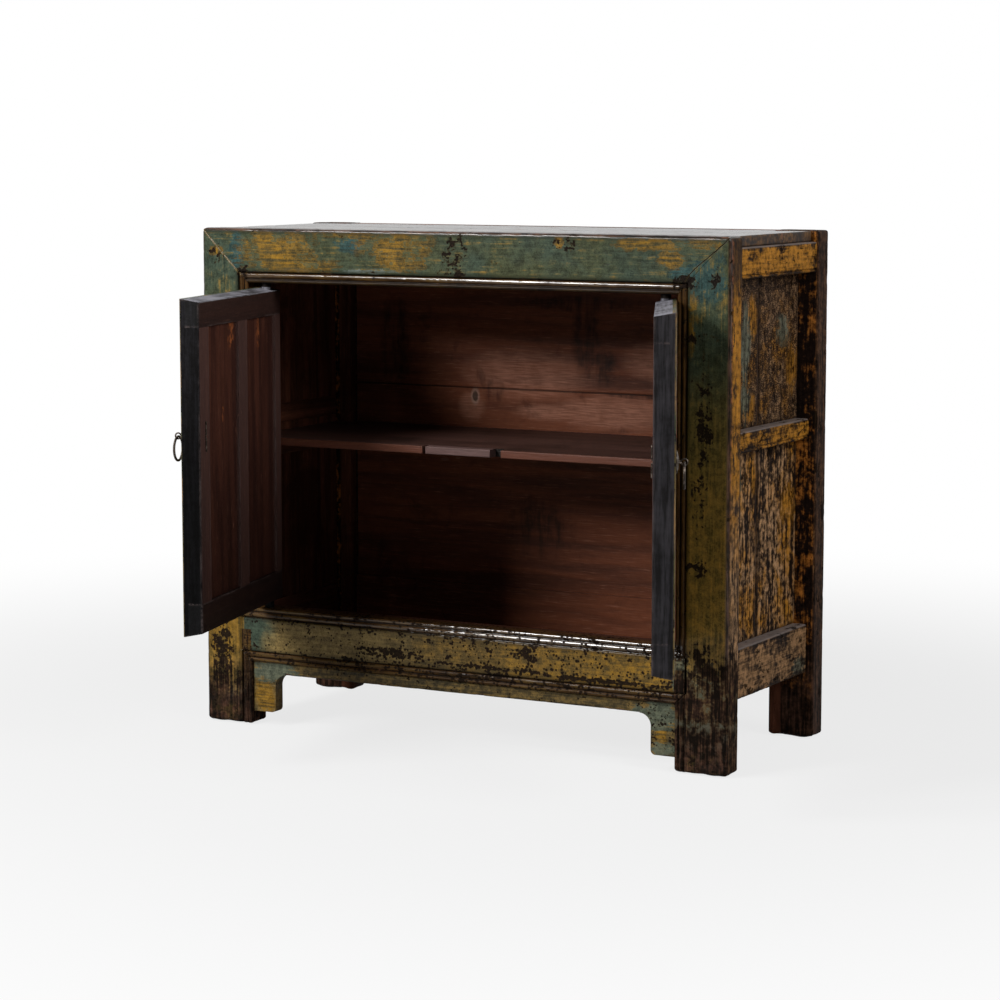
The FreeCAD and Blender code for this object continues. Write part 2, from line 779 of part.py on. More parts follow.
def door_envelope():
    """Closed left door as one block: bevelled top and bottom, hinge edge round the pivot."""
    e = door_edge_radius
    block = rounded_outline([
        (vec(hinge_edge_x, door_y0, door_z0), e), (vec(hinge_edge_x, door_y0, door_z1), e),
        (vec(hinge_edge_x, door_y1, door_z1 - door_top_bevel), e),
        (vec(hinge_edge_x, door_y1, door_z0 + door_bottom_bevel), e)
    ]).extrude(vec(door_free_x - hinge_edge_x, 0, 0))
    round_radius = pivot_inset - hinge_edge_gap
    flank = math.sqrt(round_radius ** 2 - (door_thickness / 2) ** 2)
    r = door_corner_radius
    reach = r * round_share
    edges = [
        line(vec(pivot_x - flank, door_y0, 0), vec(door_free_x - r, door_y0, 0)),
        arc(vec(door_free_x - r, door_y0, 0), vec(door_free_x - reach, door_y0 + reach, 0),
            vec(door_free_x, door_y0 + r, 0)),
        line(vec(door_free_x, door_y0 + r, 0), vec(door_free_x, door_y1 - e, 0)),
        arc(vec(door_free_x, door_y1 - e, 0),
            vec(door_free_x - e * round_share, door_y1 - e * round_share, 0),
            vec(door_free_x - e, door_y1, 0)),
        line(vec(door_free_x - e, door_y1, 0), vec(pivot_x - flank, door_y1, 0)),
        arc(vec(pivot_x - flank, door_y1, 0), vec(hinge_edge_x, pivot_y, 0),
            vec(pivot_x - flank, door_y0, 0))]
    return block.common(face_of(edges).extrude(vec(0, 0, height)))


def door_lines():
    """Inner edges of the door frame: hinge stile, lock stile, muntin and both rails."""
    hinge_line = hinge_edge_x + hinge_stile_width
    lock_line = door_free_x - lock_stile_width
    middle = (hinge_line + lock_line) / 2
    return {
        "hinge": hinge_line, "lock": lock_line,
        "muntin0": middle - muntin_width / 2, "muntin1": middle + muntin_width / 2,
        "bottom": door_z0 + door_bottom_rail_height, "top": door_z1 - door_top_rail_height}


def door_layers():
    mitre_y = door_y0 + door_mitre_depth
    return (door_y0, mitre_y), (mitre_y, door_y1)


def door_tenon(x0, x1, z0, z1):
    y0 = door_y0 + door_tenon_setback
    return box_between(
        x0 + door_tenon_shoulder, x1 - door_tenon_shoulder, y0, y0 + door_tenon_thickness, z0, z1)


def pivot_bars():
    """Round ends of the hinge stile: through the door's rails and into the carcass rails."""
    at = door_lines()
    spans = [
        (bottom_rail_top - bottom_pivot_length, at["bottom"]), (at["top"], opening_top + top_pivot_length)]
    return [Part.makeCylinder(pivot_radius, z1 - z0, vec(pivot_x, pivot_y, z0)) for z0, z1 in spans]


def door_stile(envelope, outer_x, inner_x):
    """Stile: mitred at the outer face, square-shouldered between the rails at the inner face."""
    at = door_lines()
    (y0, ym), (_, y1) = door_layers()
    corners = [(outer_x, door_z0), (outer_x, door_z1), (inner_x, at["top"]), (inner_x, at["bottom"])]
    x0, x1 = sorted((outer_x, inner_x))
    region = xz_prism(corners, y0, ym).fuse(box_between(x0, x1, ym, y1, at["bottom"], at["top"]))
    return envelope.common(region)


def door_rail(envelope, outer_z, inner_z):
    """Rail: runs the full width at the inner face and is mitred into the stiles at the outer."""
    at = door_lines()
    (y0, ym), (_, y1) = door_layers()
    corners = [
        (hinge_edge_x, outer_z), (at["hinge"], inner_z), (at["lock"], inner_z), (door_free_x, outer_z)]
    z0, z1 = sorted((outer_z, inner_z))
    region = xz_prism(corners, y0, ym).fuse(box_between(hinge_edge_x, door_free_x, ym, y1, z0, z1))
    return envelope.common(region)


def door_panel(x0, x1, reach):
    """Door panel with a tongue of the given reach on all four edges."""
    at = door_lines()
    body = box_between(
        x0, x1, door_y0 + door_panel_inset, door_y1 - door_panel_inset, at["bottom"], at["top"])
    return body.fuse(door_panel_tongues(x0, x1, reach))


def door_panel_tongues(x0, x1, reach):
    at = door_lines()
    y0 = door_y0 + door_panel_inset + (door_thickness - door_panel_inset * 2 - door_tongue_thickness) / 2
    y1 = y0 + door_tongue_thickness
    across = box_between(x0 - reach, x1 + reach, y0, y1, at["bottom"], at["top"])
    upright = box_between(x0, x1, y0, y1, at["bottom"] - reach, at["top"] + reach)
    return across.fuse(upright)


def door_frame_pieces():
    """The closed left door's wooden pieces, by name."""
    at = door_lines()
    envelope = door_envelope()
    up = (at["top"], at["top"] + door_tenon_length)
    down = (at["bottom"] - door_tenon_length, at["bottom"])
    lock_tenons = [door_tenon(at["lock"], door_free_x, *up), door_tenon(at["lock"], door_free_x, *down)]
    muntin_tenons = [
        door_tenon(at["muntin0"], at["muntin1"], *up), door_tenon(at["muntin0"], at["muntin1"], *down)]
    grooves = []
    for x0, x1 in ((at["hinge"], at["muntin0"]), (at["muntin1"], at["lock"])):
        grooves.append(door_panel_tongues(x0, x1, door_tongue_depth + groove_end_clearance))
    bars = pivot_bars()
    hole = eye_shank()
    muntin = box_between(at["muntin0"], at["muntin1"], door_y0, door_y1, at["bottom"], at["top"])
    rail_cutters = grooves + lock_tenons + muntin_tenons + bars
    return {
        "hinge_stile": door_stile(envelope, hinge_edge_x, at["hinge"]).cut(grooves).fuse(bars),
        "lock_stile": door_stile(envelope, door_free_x, at["lock"]).fuse(lock_tenons).cut(grooves + [hole]),
        "top_rail": door_rail(envelope, door_z1, at["top"]).cut(rail_cutters),
        "bottom_rail": door_rail(envelope, door_z0, at["bottom"]).cut(rail_cutters),
        "muntin": muntin.cut(grooves).fuse(muntin_tenons),
        "hinge_side_panel": door_panel(at["hinge"], at["muntin0"], door_tongue_depth),
        "lock_side_panel": door_panel(at["muntin1"], at["lock"], door_tongue_depth)}


def pull_point(out):
    """Point on the pull's axis, the given distance out from the door's outer face."""
    return vec(door_free_x - pull_edge_distance, door_y0 - out, door_z0 + pull_height_on_door)


def eye_shank():
    length = eye_standoff - eye_ring_radius + door_thickness + eye_leg_radius
    return Part.makeCylinder(
        eye_shank_radius, length, pull_point(eye_standoff - eye_ring_radius), vec(0, 1, 0))


def pull_plate():
    """Round plate, domed outwards, with a hole for the shank."""
    centre = pull_point(0)

    def place(radius, out):
        return vec(centre.x + radius, centre.y - out, centre.z)

    half = (plate_radius + eye_shank_radius) / 2
    sagging = plate_rim + (plate_dome - plate_rim) * plate_dome_share
    edges = [
        line(place(eye_shank_radius, 0), place(plate_radius, 0)),
        line(place(plate_radius, 0), place(plate_radius, plate_rim)),
        arc(place(plate_radius, plate_rim), place(half, sagging), place(eye_shank_radius, plate_dome)),
        line(place(eye_shank_radius, plate_dome), place(eye_shank_radius, 0))]
    return face_of(edges).revolve(centre, vec(0, 1, 0), 360)


def pull_eye():
    """Split pin: an eye outside the door, a shank through it, two legs bent flat inside."""
    eye = Part.makeTorus(eye_ring_radius, eye_wire_radius, pull_point(eye_standoff), vec(1, 0, 0))
    root = pull_point(-door_thickness - eye_leg_radius)
    up = Part.makeCylinder(eye_leg_radius, eye_leg_length, root, vec(0, 0, 1))
    down = Part.makeCylinder(eye_leg_radius, eye_leg_length, root, vec(0, 0, -1))
    return eye_shank().fuse([eye, up, down])


def pull_bail():
    """Ring that hangs in the eye, held a little clear of it."""
    hang = eye_ring_radius - eye_wire_radius - bail_wire_radius - bail_play
    centre = pull_point(eye_standoff)
    centre.z = centre.z - hang - bail_ring_radius
    return Part.makeTorus(bail_ring_radius, bail_wire_radius, centre, vec(0, 1, 0))


def turned(shape, side, angle):
    """Turn a closed left-door piece to its rest place on the named side."""
    if side == "left":
        piece = shape.copy()
        piece.rotate(vec(pivot_x, pivot_y, 0), vec(0, 0, 1), -angle)
        return piece
    piece = mirrored(shape)
    piece.rotate(vec(-pivot_x, pivot_y, 0), vec(0, 0, 1), angle)
    return piece


def carcass_nodes():
    top_front, top_back = top_boards()
    floor_front, floor_back = floor_boards()
    shelf_front, shelf_back = shelf_boards()
    back_top, back_bottom = back_rails()
    back_lower, back_upper = back_boards()
    nodes = {
        "front_top_rail": front_top_rail(), "front_bottom_rail": front_bottom_rail(),
        "front_apron": front_apron(), "back_top_rail": back_top, "back_bottom_rail": back_bottom,
        "back_lower_board": back_lower, "back_upper_board": back_upper,
        "top_front_board": top_front, "top_back_board": top_back,
        "bottom_front_board": floor_front, "bottom_back_board": floor_back,
        "shelf_front_board": shelf_front, "shelf_back_board": shelf_back,
        "shelf_edge_block": shelf_edge_block()}
    paired = {
        "front_SIDE_leg": front_left_leg(), "back_SIDE_leg": back_left_leg(),
        "front_apron_SIDE_spandrel": left_spandrel(), "shelf_SIDE_bearer": left_shelf_bearer()}
    for level, rail in left_side_rails().items():
        paired["SIDE_side_" + level + "_rail"] = rail
    for name, board in left_panel_boards().items():
        paired["SIDE_" + name] = board
    for name, shape in paired.items():
        nodes[name.replace("SIDE", "left")] = shape
        nodes[name.replace("SIDE", "right")] = mirrored(shape)
    return nodes


def door_nodes():
    pieces = {"door_" + name: shape for name, shape in door_frame_pieces().items()}
    pieces["pull_plate"] = pull_plate()
    pieces["pull_eye"] = pull_eye()
    pieces["pull_bail"] = pull_bail()
    nodes = {}
    for side, angle in (("left", left_door_rest_angle), ("right", right_door_rest_angle)):
        for name, shape in pieces.items():
            nodes[side + "_" + name] = turned(shape, side, angle)
    return nodes


def export(name, shape):
    solids = shape.Solids
    if len(solids) != 1 or not solids[0].isValid():
        raise RuntimeError(name + " is not one valid solid: " + str(len(solids)))
    solids[0].removeSplitter().exportStep("parts/" + name + ".step")


os.makedirs("parts", exist_ok=True)
all_nodes = carcass_nodes()
all_nodes.update(door_nodes())
for node_name, node_shape in all_nodes.items():
    export(node_name, node_shape)
print(len(all_nodes), "pieces written")
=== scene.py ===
import json
import math

import bmesh
import bpy
import numpy as np
from bpy.props import FloatProperty, FloatVectorProperty, PointerProperty
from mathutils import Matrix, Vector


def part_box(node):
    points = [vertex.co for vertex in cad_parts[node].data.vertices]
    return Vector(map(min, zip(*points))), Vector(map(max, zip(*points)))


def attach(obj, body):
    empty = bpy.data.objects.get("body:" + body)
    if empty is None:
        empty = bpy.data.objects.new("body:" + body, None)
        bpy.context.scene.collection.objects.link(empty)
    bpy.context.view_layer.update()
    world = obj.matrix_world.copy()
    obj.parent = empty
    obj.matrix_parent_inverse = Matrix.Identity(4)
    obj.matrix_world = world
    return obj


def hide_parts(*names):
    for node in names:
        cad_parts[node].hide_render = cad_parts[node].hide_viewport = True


bl_info = {
    "name": "Kang cabinet finishes",
    "version": (1, 0, 0),
    "blender": (4, 5, 0),
    "location": "View3D > Sidebar > Cabinet",
    "description": "Lacquer, wood, pulls and stage for a low two-door kang cabinet",
    "category": "Object",
}

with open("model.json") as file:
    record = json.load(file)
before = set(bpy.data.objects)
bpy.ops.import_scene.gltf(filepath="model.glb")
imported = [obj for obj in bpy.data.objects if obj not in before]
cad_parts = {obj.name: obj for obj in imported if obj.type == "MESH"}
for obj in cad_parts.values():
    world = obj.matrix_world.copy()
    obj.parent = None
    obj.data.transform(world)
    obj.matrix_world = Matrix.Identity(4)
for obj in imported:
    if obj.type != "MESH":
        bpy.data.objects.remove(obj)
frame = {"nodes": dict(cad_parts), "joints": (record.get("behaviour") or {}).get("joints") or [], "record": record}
NODES = frame["nodes"]
JOINTS = {joint["name"]: joint for joint in frame["joints"]}
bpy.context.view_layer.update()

# Places on the carcass, read from the frame, in metres
LEG_LOW, LEG_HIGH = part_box("front_right_leg")
BACK_LOW, BACK_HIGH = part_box("back_lower_board")
RAIL_BASE, RAIL_TOP = (corner.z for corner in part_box("front_bottom_rail"))
OPENING_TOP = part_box("front_top_rail")[0].z
SEAM_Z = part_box("back_upper_board")[0].z
SHELF_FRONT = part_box("shelf_front_board")[0].y
HALF_WIDTH = LEG_HIGH.x
POST_INNER = LEG_LOW.x
FRONT_Y = LEG_LOW.y
POST_BACK_Y = LEG_HIGH.y
CABINET_TOP = LEG_HIGH.z
# Inner face of the side rails and panels
SIDE_INNER = POST_INNER + 0.0455

# Row of beads round the opening, from its inner edge: small bead, groove, big bead, groove
SMALL_BEAD = 0.007
BIG_BEAD = 0.0095
BEAD_GROOVE = 0.001
BEAD_BAND = SMALL_BEAD + BIG_BEAD + BEAD_GROOVE * 2
BEAD_SINK = 0.0035
FRONT_BEADS = [(BIG_BEAD, 0.0032), (SMALL_BEAD, 0.0024)]
SIDE_BEAD_BAND = 0.006
MITRE_DEPTH = 0.015
FOOT_RADIUS = 0.007
# Longest step between the points of a worn piece's section, and the first seed of the sides' wear
SECTION_STEP = 0.0032
SIDE_SEED = 300

# Pulls, measured on the closed door, in metres: the plate, the split pin and its eye, the ring
PULL_Z = 0.532
PULL_FROM_EDGE = 0.023
PLATE_RADIUS = 0.017
PLATE_RIM = 0.0015
PLATE_DOME = 0.004
EYE_OUT = 0.012
EYE_RADIUS = 0.0046
EYE_WIRE = 0.0013
WIRE_RADIUS = 0.00125
PIN_LEG = 0.024
BAIL_RADIUS = 0.019
BAIL_WIRE = 0.002

# Doors, in metres; the inner edges at their top and bottom are bevelled
DOOR_THICKNESS = 0.034
DOOR_GAP = 0.001
DOOR_SETBACK = 0.001
DOOR_BEVEL = 0.0065
# Depths below a door's faces where their finish ends and where that of its edges begins
FACE_DEPTH = 0.0056
EDGE_DEPTH = 0.0072

# Painted shade at the end of the notch in the shelf's front edge, beside the let-in block
BLOCK_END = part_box("shelf_edge_block")[1].x
NOTCH_GAP = (BLOCK_END - 0.0002, BLOCK_END + 0.0205)

# Stage: the point the lamps face, the camera's film width, and white
LAMP_AIM = (0.0, 0.0, 0.45)
SENSOR_WIDTH = 36.0
WHITE = (1.0, 1.0, 1.0, 1.0)


class Wire:
    """A value in a shader: using it in an expression adds the Math nodes."""

    def __init__(self, tree, socket):
        self.tree = tree
        self.socket = socket

    def math(self, operation, *values):
        """Math node over wires or numbers."""
        return self.tree.node("ShaderNodeMath", {"operation": operation}, dict(enumerate(values)))

    def __add__(self, other):
        return self.math("ADD", self, other)

    def __radd__(self, other):
        return self.math("ADD", other, self)

    def __sub__(self, other):
        return self.math("SUBTRACT", self, other)

    def __rsub__(self, other):
        return self.math("SUBTRACT", other, self)

    def __mul__(self, other):
        return self.math("MULTIPLY", self, other)

    def __rmul__(self, other):
        return self.math("MULTIPLY", other, self)

    def __truediv__(self, other):
        return self.math("DIVIDE", self, other)

    def __pow__(self, other):
        return self.math("POWER", self, other)

    def __abs__(self):
        return self.math("ABSOLUTE", self)

    def least(self, other):
        return self.math("MINIMUM", self, other)

    def most(self, other):
        return self.math("MAXIMUM", self, other)

    def rise(self, low, high):
        """0 below low, 1 above high, smooth between; with low above high it falls instead."""
        if low > high:
            return 1 - self.rise(high, low)
        return self.tree.node(
            "ShaderNodeMapRange", {"interpolation_type": "SMOOTHSTEP"},
            {0: self, 1: low, 2: high, 3: 0.0, 4: 1.0})

    def band(self, low, high, soft):
        """1 between low and high, falling to 0 over the distance soft outside them."""
        return self.rise(low - soft, low) * self.rise(high + soft, high)


class ShaderTree:
    """The node tree of a material or a world, the place it reads and the calls that add nodes."""

    def __init__(self, owner, output, place):
        owner.use_nodes = True
        self.nodes = owner.node_tree.nodes
        self.links = owner.node_tree.links
        self.nodes.clear()
        self.output = self.nodes.new(output)
        self.place = self.node("ShaderNodeTexCoord", {}, {}, place)
        self.split()

    def split(self):
        """Read the place's three coordinates as wires."""
        parts = self.node("ShaderNodeSeparateXYZ", {}, {0: self.place}, None)
        self.x, self.y, self.z = (Wire(self, output) for output in parts.outputs)

    def node(self, kind, settings, inputs, output=0):
        """Add a node, set it up, connect its sockets and give back one of its outputs as a wire."""
        made = self.nodes.new(kind)
        for key, value in settings.items():
            setattr(made, key, value)
        for key, value in inputs.items():
            if isinstance(value, Wire):
                self.links.new(value.socket, made.inputs[key])
            else:
                made.inputs[key].default_value = value
        return made if output is None else Wire(self, made.outputs[output])

    def seen_white(self, behind):
        """1 for the camera's rays, and for mirrored rays where behind is 1."""
        rays = self.node("ShaderNodeLightPath", {}, {}, None)
        camera, glossy, through = (
            Wire(self, rays.outputs["Is " + kind + " Ray"]) for kind in ("Camera", "Glossy", "Transmission"))
        return camera.most(glossy.most(through) * behind)


class Finish(ShaderTree):
    """One material: a shader, and the noises and colour mixes that its finish is made of."""

    def __init__(self, name):
        self.material = bpy.data.materials.new(name)
        super().__init__(self.material, "ShaderNodeOutputMaterial", "Object")
        self.across = self.x
        self.shader = self.nodes.new("ShaderNodeBsdfPrincipled")
        self.links.new(self.shader.outputs[0], self.output.inputs[0])

    def turn_to_closed(self, joint_name, angle):
        """Read places as they are on the closed door: turned about the door's pivot."""
        pivot = JOINTS[joint_name]["pos_m"]
        self.place = self.node(
            "ShaderNodeVectorRotate", {"rotation_type": "Z_AXIS"},
            {"Vector": self.place, "Center": pivot, "Angle": angle})
        self.split()
        self.across = self.x

    def stretched(self, along, fineness, run):
        """Place scaled by fineness, and by fineness / run along the grain's axis."""
        scales = [fineness] * 3
        scales["xyz".index(along)] = fineness / run
        return self.node("ShaderNodeVectorMath", {"operation": "MULTIPLY"}, {0: self.place, 1: scales})

    def noise(self, scale, detail=3.0, roughness=0.5, distortion=0.0, place=None):
        """Fractal noise at the place, mostly 0.3 to 0.7."""
        return self.node("ShaderNodeTexNoise", {}, {
            "Vector": place or self.place, "Scale": scale, "Detail": detail, "Roughness": roughness,
            "Distortion": distortion})

    def grain(self, along, fineness, run, detail=4.0, roughness=0.64, distortion=0.0):
        """Noise drawn out along an axis, as brush lines and wood grain are."""
        return self.noise(1.0, detail, roughness, distortion, self.stretched(along, fineness, run))

    def cells(self, place, scale):
        """Distance to the nearest of the points scattered at that scale."""
        return self.node("ShaderNodeTexVoronoi", {"feature": "F1"}, {"Vector": place, "Scale": scale})

    def lost_share(self):
        """Share of the arris rubbed or knocked off, kept at the points of worn pieces; 0 on other pieces."""
        return self.node("ShaderNodeAttribute", {"attribute_name": "worn"}, {}, "Fac")

    def blend(self, factor, under, over):
        """Colour mix: under where factor is 0, over where it is 1."""
        colours = [c if isinstance(c, Wire) else (*c[:3], 1.0) for c in (under, over)]
        return self.node(
            "ShaderNodeMix", {"data_type": "RGBA"}, {0: factor, 6: colours[0], 7: colours[1]}, 2)

    def shaded(self, colour, amount):
        """Colour scaled by a value that changes over the surface."""
        return self.node(
            "ShaderNodeVectorMath", {"operation": "SCALE"},
            {0: colour if isinstance(colour, Wire) else colour[:3], "Scale": amount})

    def finish_with(self, colour, roughness, height, depth, constants):
        """Connect colour, roughness and bump, and set what is the same all over."""
        bump = self.node("ShaderNodeBump", {}, {"Strength": 1.0, "Distance": depth, "Height": height})
        for key, wire in (("Base Color", colour), ("Roughness", roughness), ("Normal", bump)):
            self.links.new(wire.socket, self.shader.inputs[key])
        for key, value in constants.items():
            self.shader.inputs[key].default_value = value
        return self.material


def wood_figure(f, along):
    """Wood figure: long fibres, growth bands bent by slow noise, and pores. Each is 0 to 1."""
    drawn = f.stretched(along, 1.0, 16.0)
    fibre = f.noise(420.0, 3.0, 0.6, place=drawn)
    bands = f.noise(38.0, 4.0, 0.55, 0.6, drawn)
    pores = f.noise(900.0, 2.0, place=drawn)
    return fibre, bands, pores


def bead_place(f):
    """Distance from the opening's inner edge, over the posts, the top rail and the bottom rail."""
    aside = abs(f.x) - POST_INNER
    round_opening = aside.most(f.z - OPENING_TOP).most(RAIL_TOP - f.z)
    below_rail = (f.z - RAIL_BASE).most(aside)
    split = RAIL_TOP - BEAD_BAND - 0.02
    upper = f.z.rise(split - 0.0001, split + 0.0001)
    between_legs = abs(f.x).rise(POST_INNER + 0.0001, POST_INNER - 0.0001)
    lower = between_legs * below_rail + (1 - between_legs) * aside
    return upper * round_opening + (1 - upper) * lower


def ragged_edge(cloud, brush, mottle):
    """Noise that moves the edges of patches: broad tongues, brush lines and fine nibbling."""
    mixed = cloud.rise(0.36, 0.64) * 0.45 + brush.rise(0.34, 0.66) * 0.33 + mottle.rise(0.36, 0.64) * 0.22
    return 0.28 + mixed * 0.44


def spots(f, across, places, ragged, wobble, soft=0.3):
    """Patches, each (across, z, half width, half height) in mm, their edges moved by wobble (0 to 1)."""
    total = None
    for place in places:
        middle, z, half, half_z = (millimetres / 1000 for millimetres in place)
        over = (across - middle) / half
        up = (f.z - z) / half_z
        inside = (over * over + up * up + (wobble - 0.5) * ragged).rise(1 + soft, 1 - soft)
        total = inside if total is None else total.most(inside)
    return total


def chips(f, place, amount, fineness):
    """Chipped spots, 0 or 1: where fractal noise passes a level that amount lowers."""
    coarse = f.noise(fineness, 6.0, 0.66, 0.3, place)
    return (coarse + amount * 0.16).rise(0.660, 0.672)


def specks(f, place, amount, fineness, fine):
    """Small round chips: Voronoi cells whose radius grows with amount and a slower noise."""
    radius = (f.noise(fineness * 0.31, 2.0, place=place) + amount * 0.25 - 0.62) * 1.5
    return (radius - f.cells(place, fineness) + (fine - 0.5) * 0.22).rise(0.0, 0.06)


def edge_distance(f, low, high):
    """Distance to a bar's nearest long edge: the middle one of the distances to its pairs of faces."""
    a = (f.across - low[0]).least(high[0] - f.across)
    b = (f.y - low[1]).least(high[1] - f.y)
    c = (f.z - low[2]).least(high[2] - f.z)
    return a.least(b).most(a.most(b).least(c))


def tone_of(brush, mottle, fine):
    """Brightness of a brushed coat, 1 on average: brush lines, mottling and fine specks."""
    tone = 0.30 + brush.rise(0.33, 0.67) * 0.44 + mottle.rise(0.36, 0.64) * 0.52
    return tone + fine.rise(0.35, 0.65) * 0.44


def front_lacquer(colours, wear):
    """Posts, front rails, apron and spandrels: layered teal and ochre lacquer, chipped to the dark ground."""
    f = Finish("front_lacquer")
    x, y, z = f.x, f.y, f.z
    aside = abs(x)
    slow = f.noise(7.0, 4.0, 0.55)
    cloud = f.noise(21.0, 5.0, 0.62, 0.4)
    mottle = f.noise(95.0, 4.0, 0.62)
    fine = f.noise(620.0, 2.0, 0.6)
    along_x = f.grain("x", 230.0, 18.0)
    along_z = f.grain("z", 230.0, 18.0)
    across_face = (aside - POST_INNER) / (HALF_WIDTH - POST_INNER)
    bow = x.rise(0.0, 0.2) * across_face.rise(0.0, 0.25) * across_face.rise(1.0, 0.2) * 0.011
    mitre_line = z - aside - bow - (OPENING_TOP - POST_INNER)
    on_rail = mitre_line.rise(-0.0004, 0.0004)
    on_bottom = z.rise(RAIL_TOP + 0.001, RAIL_TOP) * aside.rise(POST_INNER + 0.0145, POST_INNER + 0.0135)
    lying = on_rail.most(on_bottom)
    brush = lying * along_x + (1 - lying) * along_z
    wobble = ragged_edge(cloud, brush, mottle)
    bead = bead_place(f)
    on_post = aside.rise(POST_INNER - 0.0003, POST_INNER - 0.0001)

    green = f.blend((slow * 0.7 + cloud * 0.5).rise(0.45, 0.75), colours.teal, colours.green)
    blue = spots(f, x, BLUE_PLACES, 7.0, wobble) * (0.5 + brush.rise(0.3, 0.6) * 0.45)
    green = f.blend(blue, green, colours.blue)
    # Light blue streaks on the top rail just above the beads: a painted highlight
    pale_blue = spots(f, x, BLUE_HIGHLIGHT_PLACES, 7.0, wobble) * brush.rise(0.35, 0.62) * 0.7
    green = f.blend(pale_blue, green, colours.pale_blue)
    ochre = f.blend((brush * 0.6 + cloud * 0.6).rise(0.42, 0.74), colours.ochre_dark, colours.ochre)
    shown = spots(f, x, OCHRE_PLACES, 9.0, wobble)
    shown = shown * (0.30 + (brush * 0.6 + mottle * 0.4).rise(0.36, 0.58) * 0.70)
    streaked = (brush * 0.6 + mottle * 0.25 + cloud * 0.4).rise(0.66, 0.80) * 0.5
    paint = f.blend(shown.most(streaked), green, ochre)

    olive = f.blend((brush * 0.6 + cloud * 0.5).rise(0.38, 0.74), colours.olive_dark, colours.olive)
    low_olive = f.blend((brush * 0.5 + mottle * 0.5).rise(0.35, 0.72), colours.olive, colours.olive_ochre)
    olive = f.blend((z + (cloud - 0.5) * 0.30).rise(0.60, 0.36) * 0.9, olive, low_olive)
    down = (z + (cloud - 0.5) * 0.20 + (brush - 0.5) * 0.16).rise(0.665, 0.555)
    paint = f.blend(down * (1 - on_rail), paint, olive)
    shadowed = z.band(0.56, 0.65, 0.06) * x.rise(0.2, 0.3)
    paint = f.shaded(paint, 1 - shadowed * 0.12)

    khaki = f.blend((brush * 0.5 + cloud * 0.6).rise(0.42, 0.74), colours.khaki_dark, colours.khaki)
    gold = f.blend((mottle * 0.6 + brush * 0.5).rise(0.38, 0.72), colours.khaki, colours.ochre)
    khaki = f.blend((x + (cloud - 0.5) * 0.5).rise(-0.22, 0.34) * 0.90, khaki, gold)
    # Lighter khaki towards the left end of the bottom rail: part lighter lacquer, part painted light that makes up
    # for the left door's shadow there
    khaki = f.blend((x + (cloud - 0.5) * 0.25).rise(-0.05, -0.22) * 0.95, khaki, colours.khaki_pale)
    khaki = f.blend((x + (cloud - 0.5) * 0.09).rise(-0.34, -0.385), khaki, colours.teal)
    paint = f.blend(on_bottom, paint, khaki)
    apron = f.blend((brush * 0.5 + mottle * 0.5).rise(0.40, 0.66), colours.khaki_dark, colours.apron)
    on_apron = z.rise(RAIL_BASE + 0.0004, RAIL_BASE - 0.0002)
    on_apron = on_apron * aside.rise(POST_INNER + 0.0002, POST_INNER - 0.0002)
    paint = f.blend(on_apron, paint, apron)
    foot_ochre = spots(f, x, FOOT_OCHRE_PLACES, 5.0, wobble)
    paint = f.blend(foot_ochre * (0.5 + brush.rise(0.35, 0.6) * 0.5), paint, ochre)
    paint = f.blend(spots(f, x, FOOT_TEAL_PLACES, 5.0, wobble) * 0.85, paint, colours.foot_teal)
    paint = f.shaded(paint, tone_of(brush, mottle, fine))

    in_band = bead.rise(BEAD_BAND + 0.0004, BEAD_BAND - 0.0002) * (1 - on_apron)
    small_crown = abs(bead - SMALL_BEAD / 2).rise(0.0028, 0.0006) * (1 - on_rail * 0.75)
    big_crown = abs(bead - (SMALL_BEAD + BEAD_GROOVE + BIG_BEAD / 2)).rise(0.0040, 0.0008)
    crown = small_crown.most(big_crown)
    streaks_x = f.grain("x", 800.0, 50.0, 3.0, 0.6)
    streaks_z = f.grain("z", 800.0, 50.0, 3.0, 0.6)
    streaks = lying * streaks_x + (1 - lying) * streaks_z
    band = f.blend((streaks * 0.8 + cloud * 0.5).rise(0.45, 0.80), colours.ground, colours.bead)
    band = f.blend(bead.rise(SMALL_BEAD + BEAD_GROOVE, SMALL_BEAD) * on_rail * 0.8, band, colours.ground)
    rubbed_crown = crown * (streaks * 0.6 + cloud * 0.7).rise(0.58, 0.84)
    band = f.blend(rubbed_crown * (0.35 + lying * 0.5), band, colours.ochre_dark)
    groove = abs(bead - (SMALL_BEAD + BEAD_GROOVE / 2)).rise(0.0013, 0.0006)
    groove = groove.most(abs(bead - (BEAD_BAND - BEAD_GROOVE / 2)).rise(0.0014, 0.0007))
    band = f.blend(groove * 0.9, band, colours.ground)
    paint = f.blend(in_band, paint, band)

    outer_edge = aside.rise(HALF_WIDTH - 0.0070, HALF_WIDTH - 0.0020) * (1 - on_rail)
    top_edge = z.rise(CABINET_TOP - 0.0065, CABINET_TOP - 0.0025)
    edge = outer_edge.most(top_edge)
    edge_colour = f.blend((streaks * 0.7 + cloud * 0.6).rise(0.58, 0.86), colours.ground, colours.edge_brown)
    paint = f.blend(edge * (cloud * 0.7 + streaks * 0.7).rise(0.40, 0.60), paint, edge_colour)
    beside_band = bead.rise(BEAD_BAND + 0.0095, BEAD_BAND + 0.0005) * (1 - on_apron)
    dirt = (beside_band * 0.8).most(edge * 0.5).most(z.rise(CABINET_TOP - 0.012, CABINET_TOP - 0.006) * 0.7)
    paint = f.blend(dirt * (mottle * 0.9 + brush * 0.4).rise(0.42, 0.80) * (1 - in_band) * 0.9, paint,
                    colours.ground)

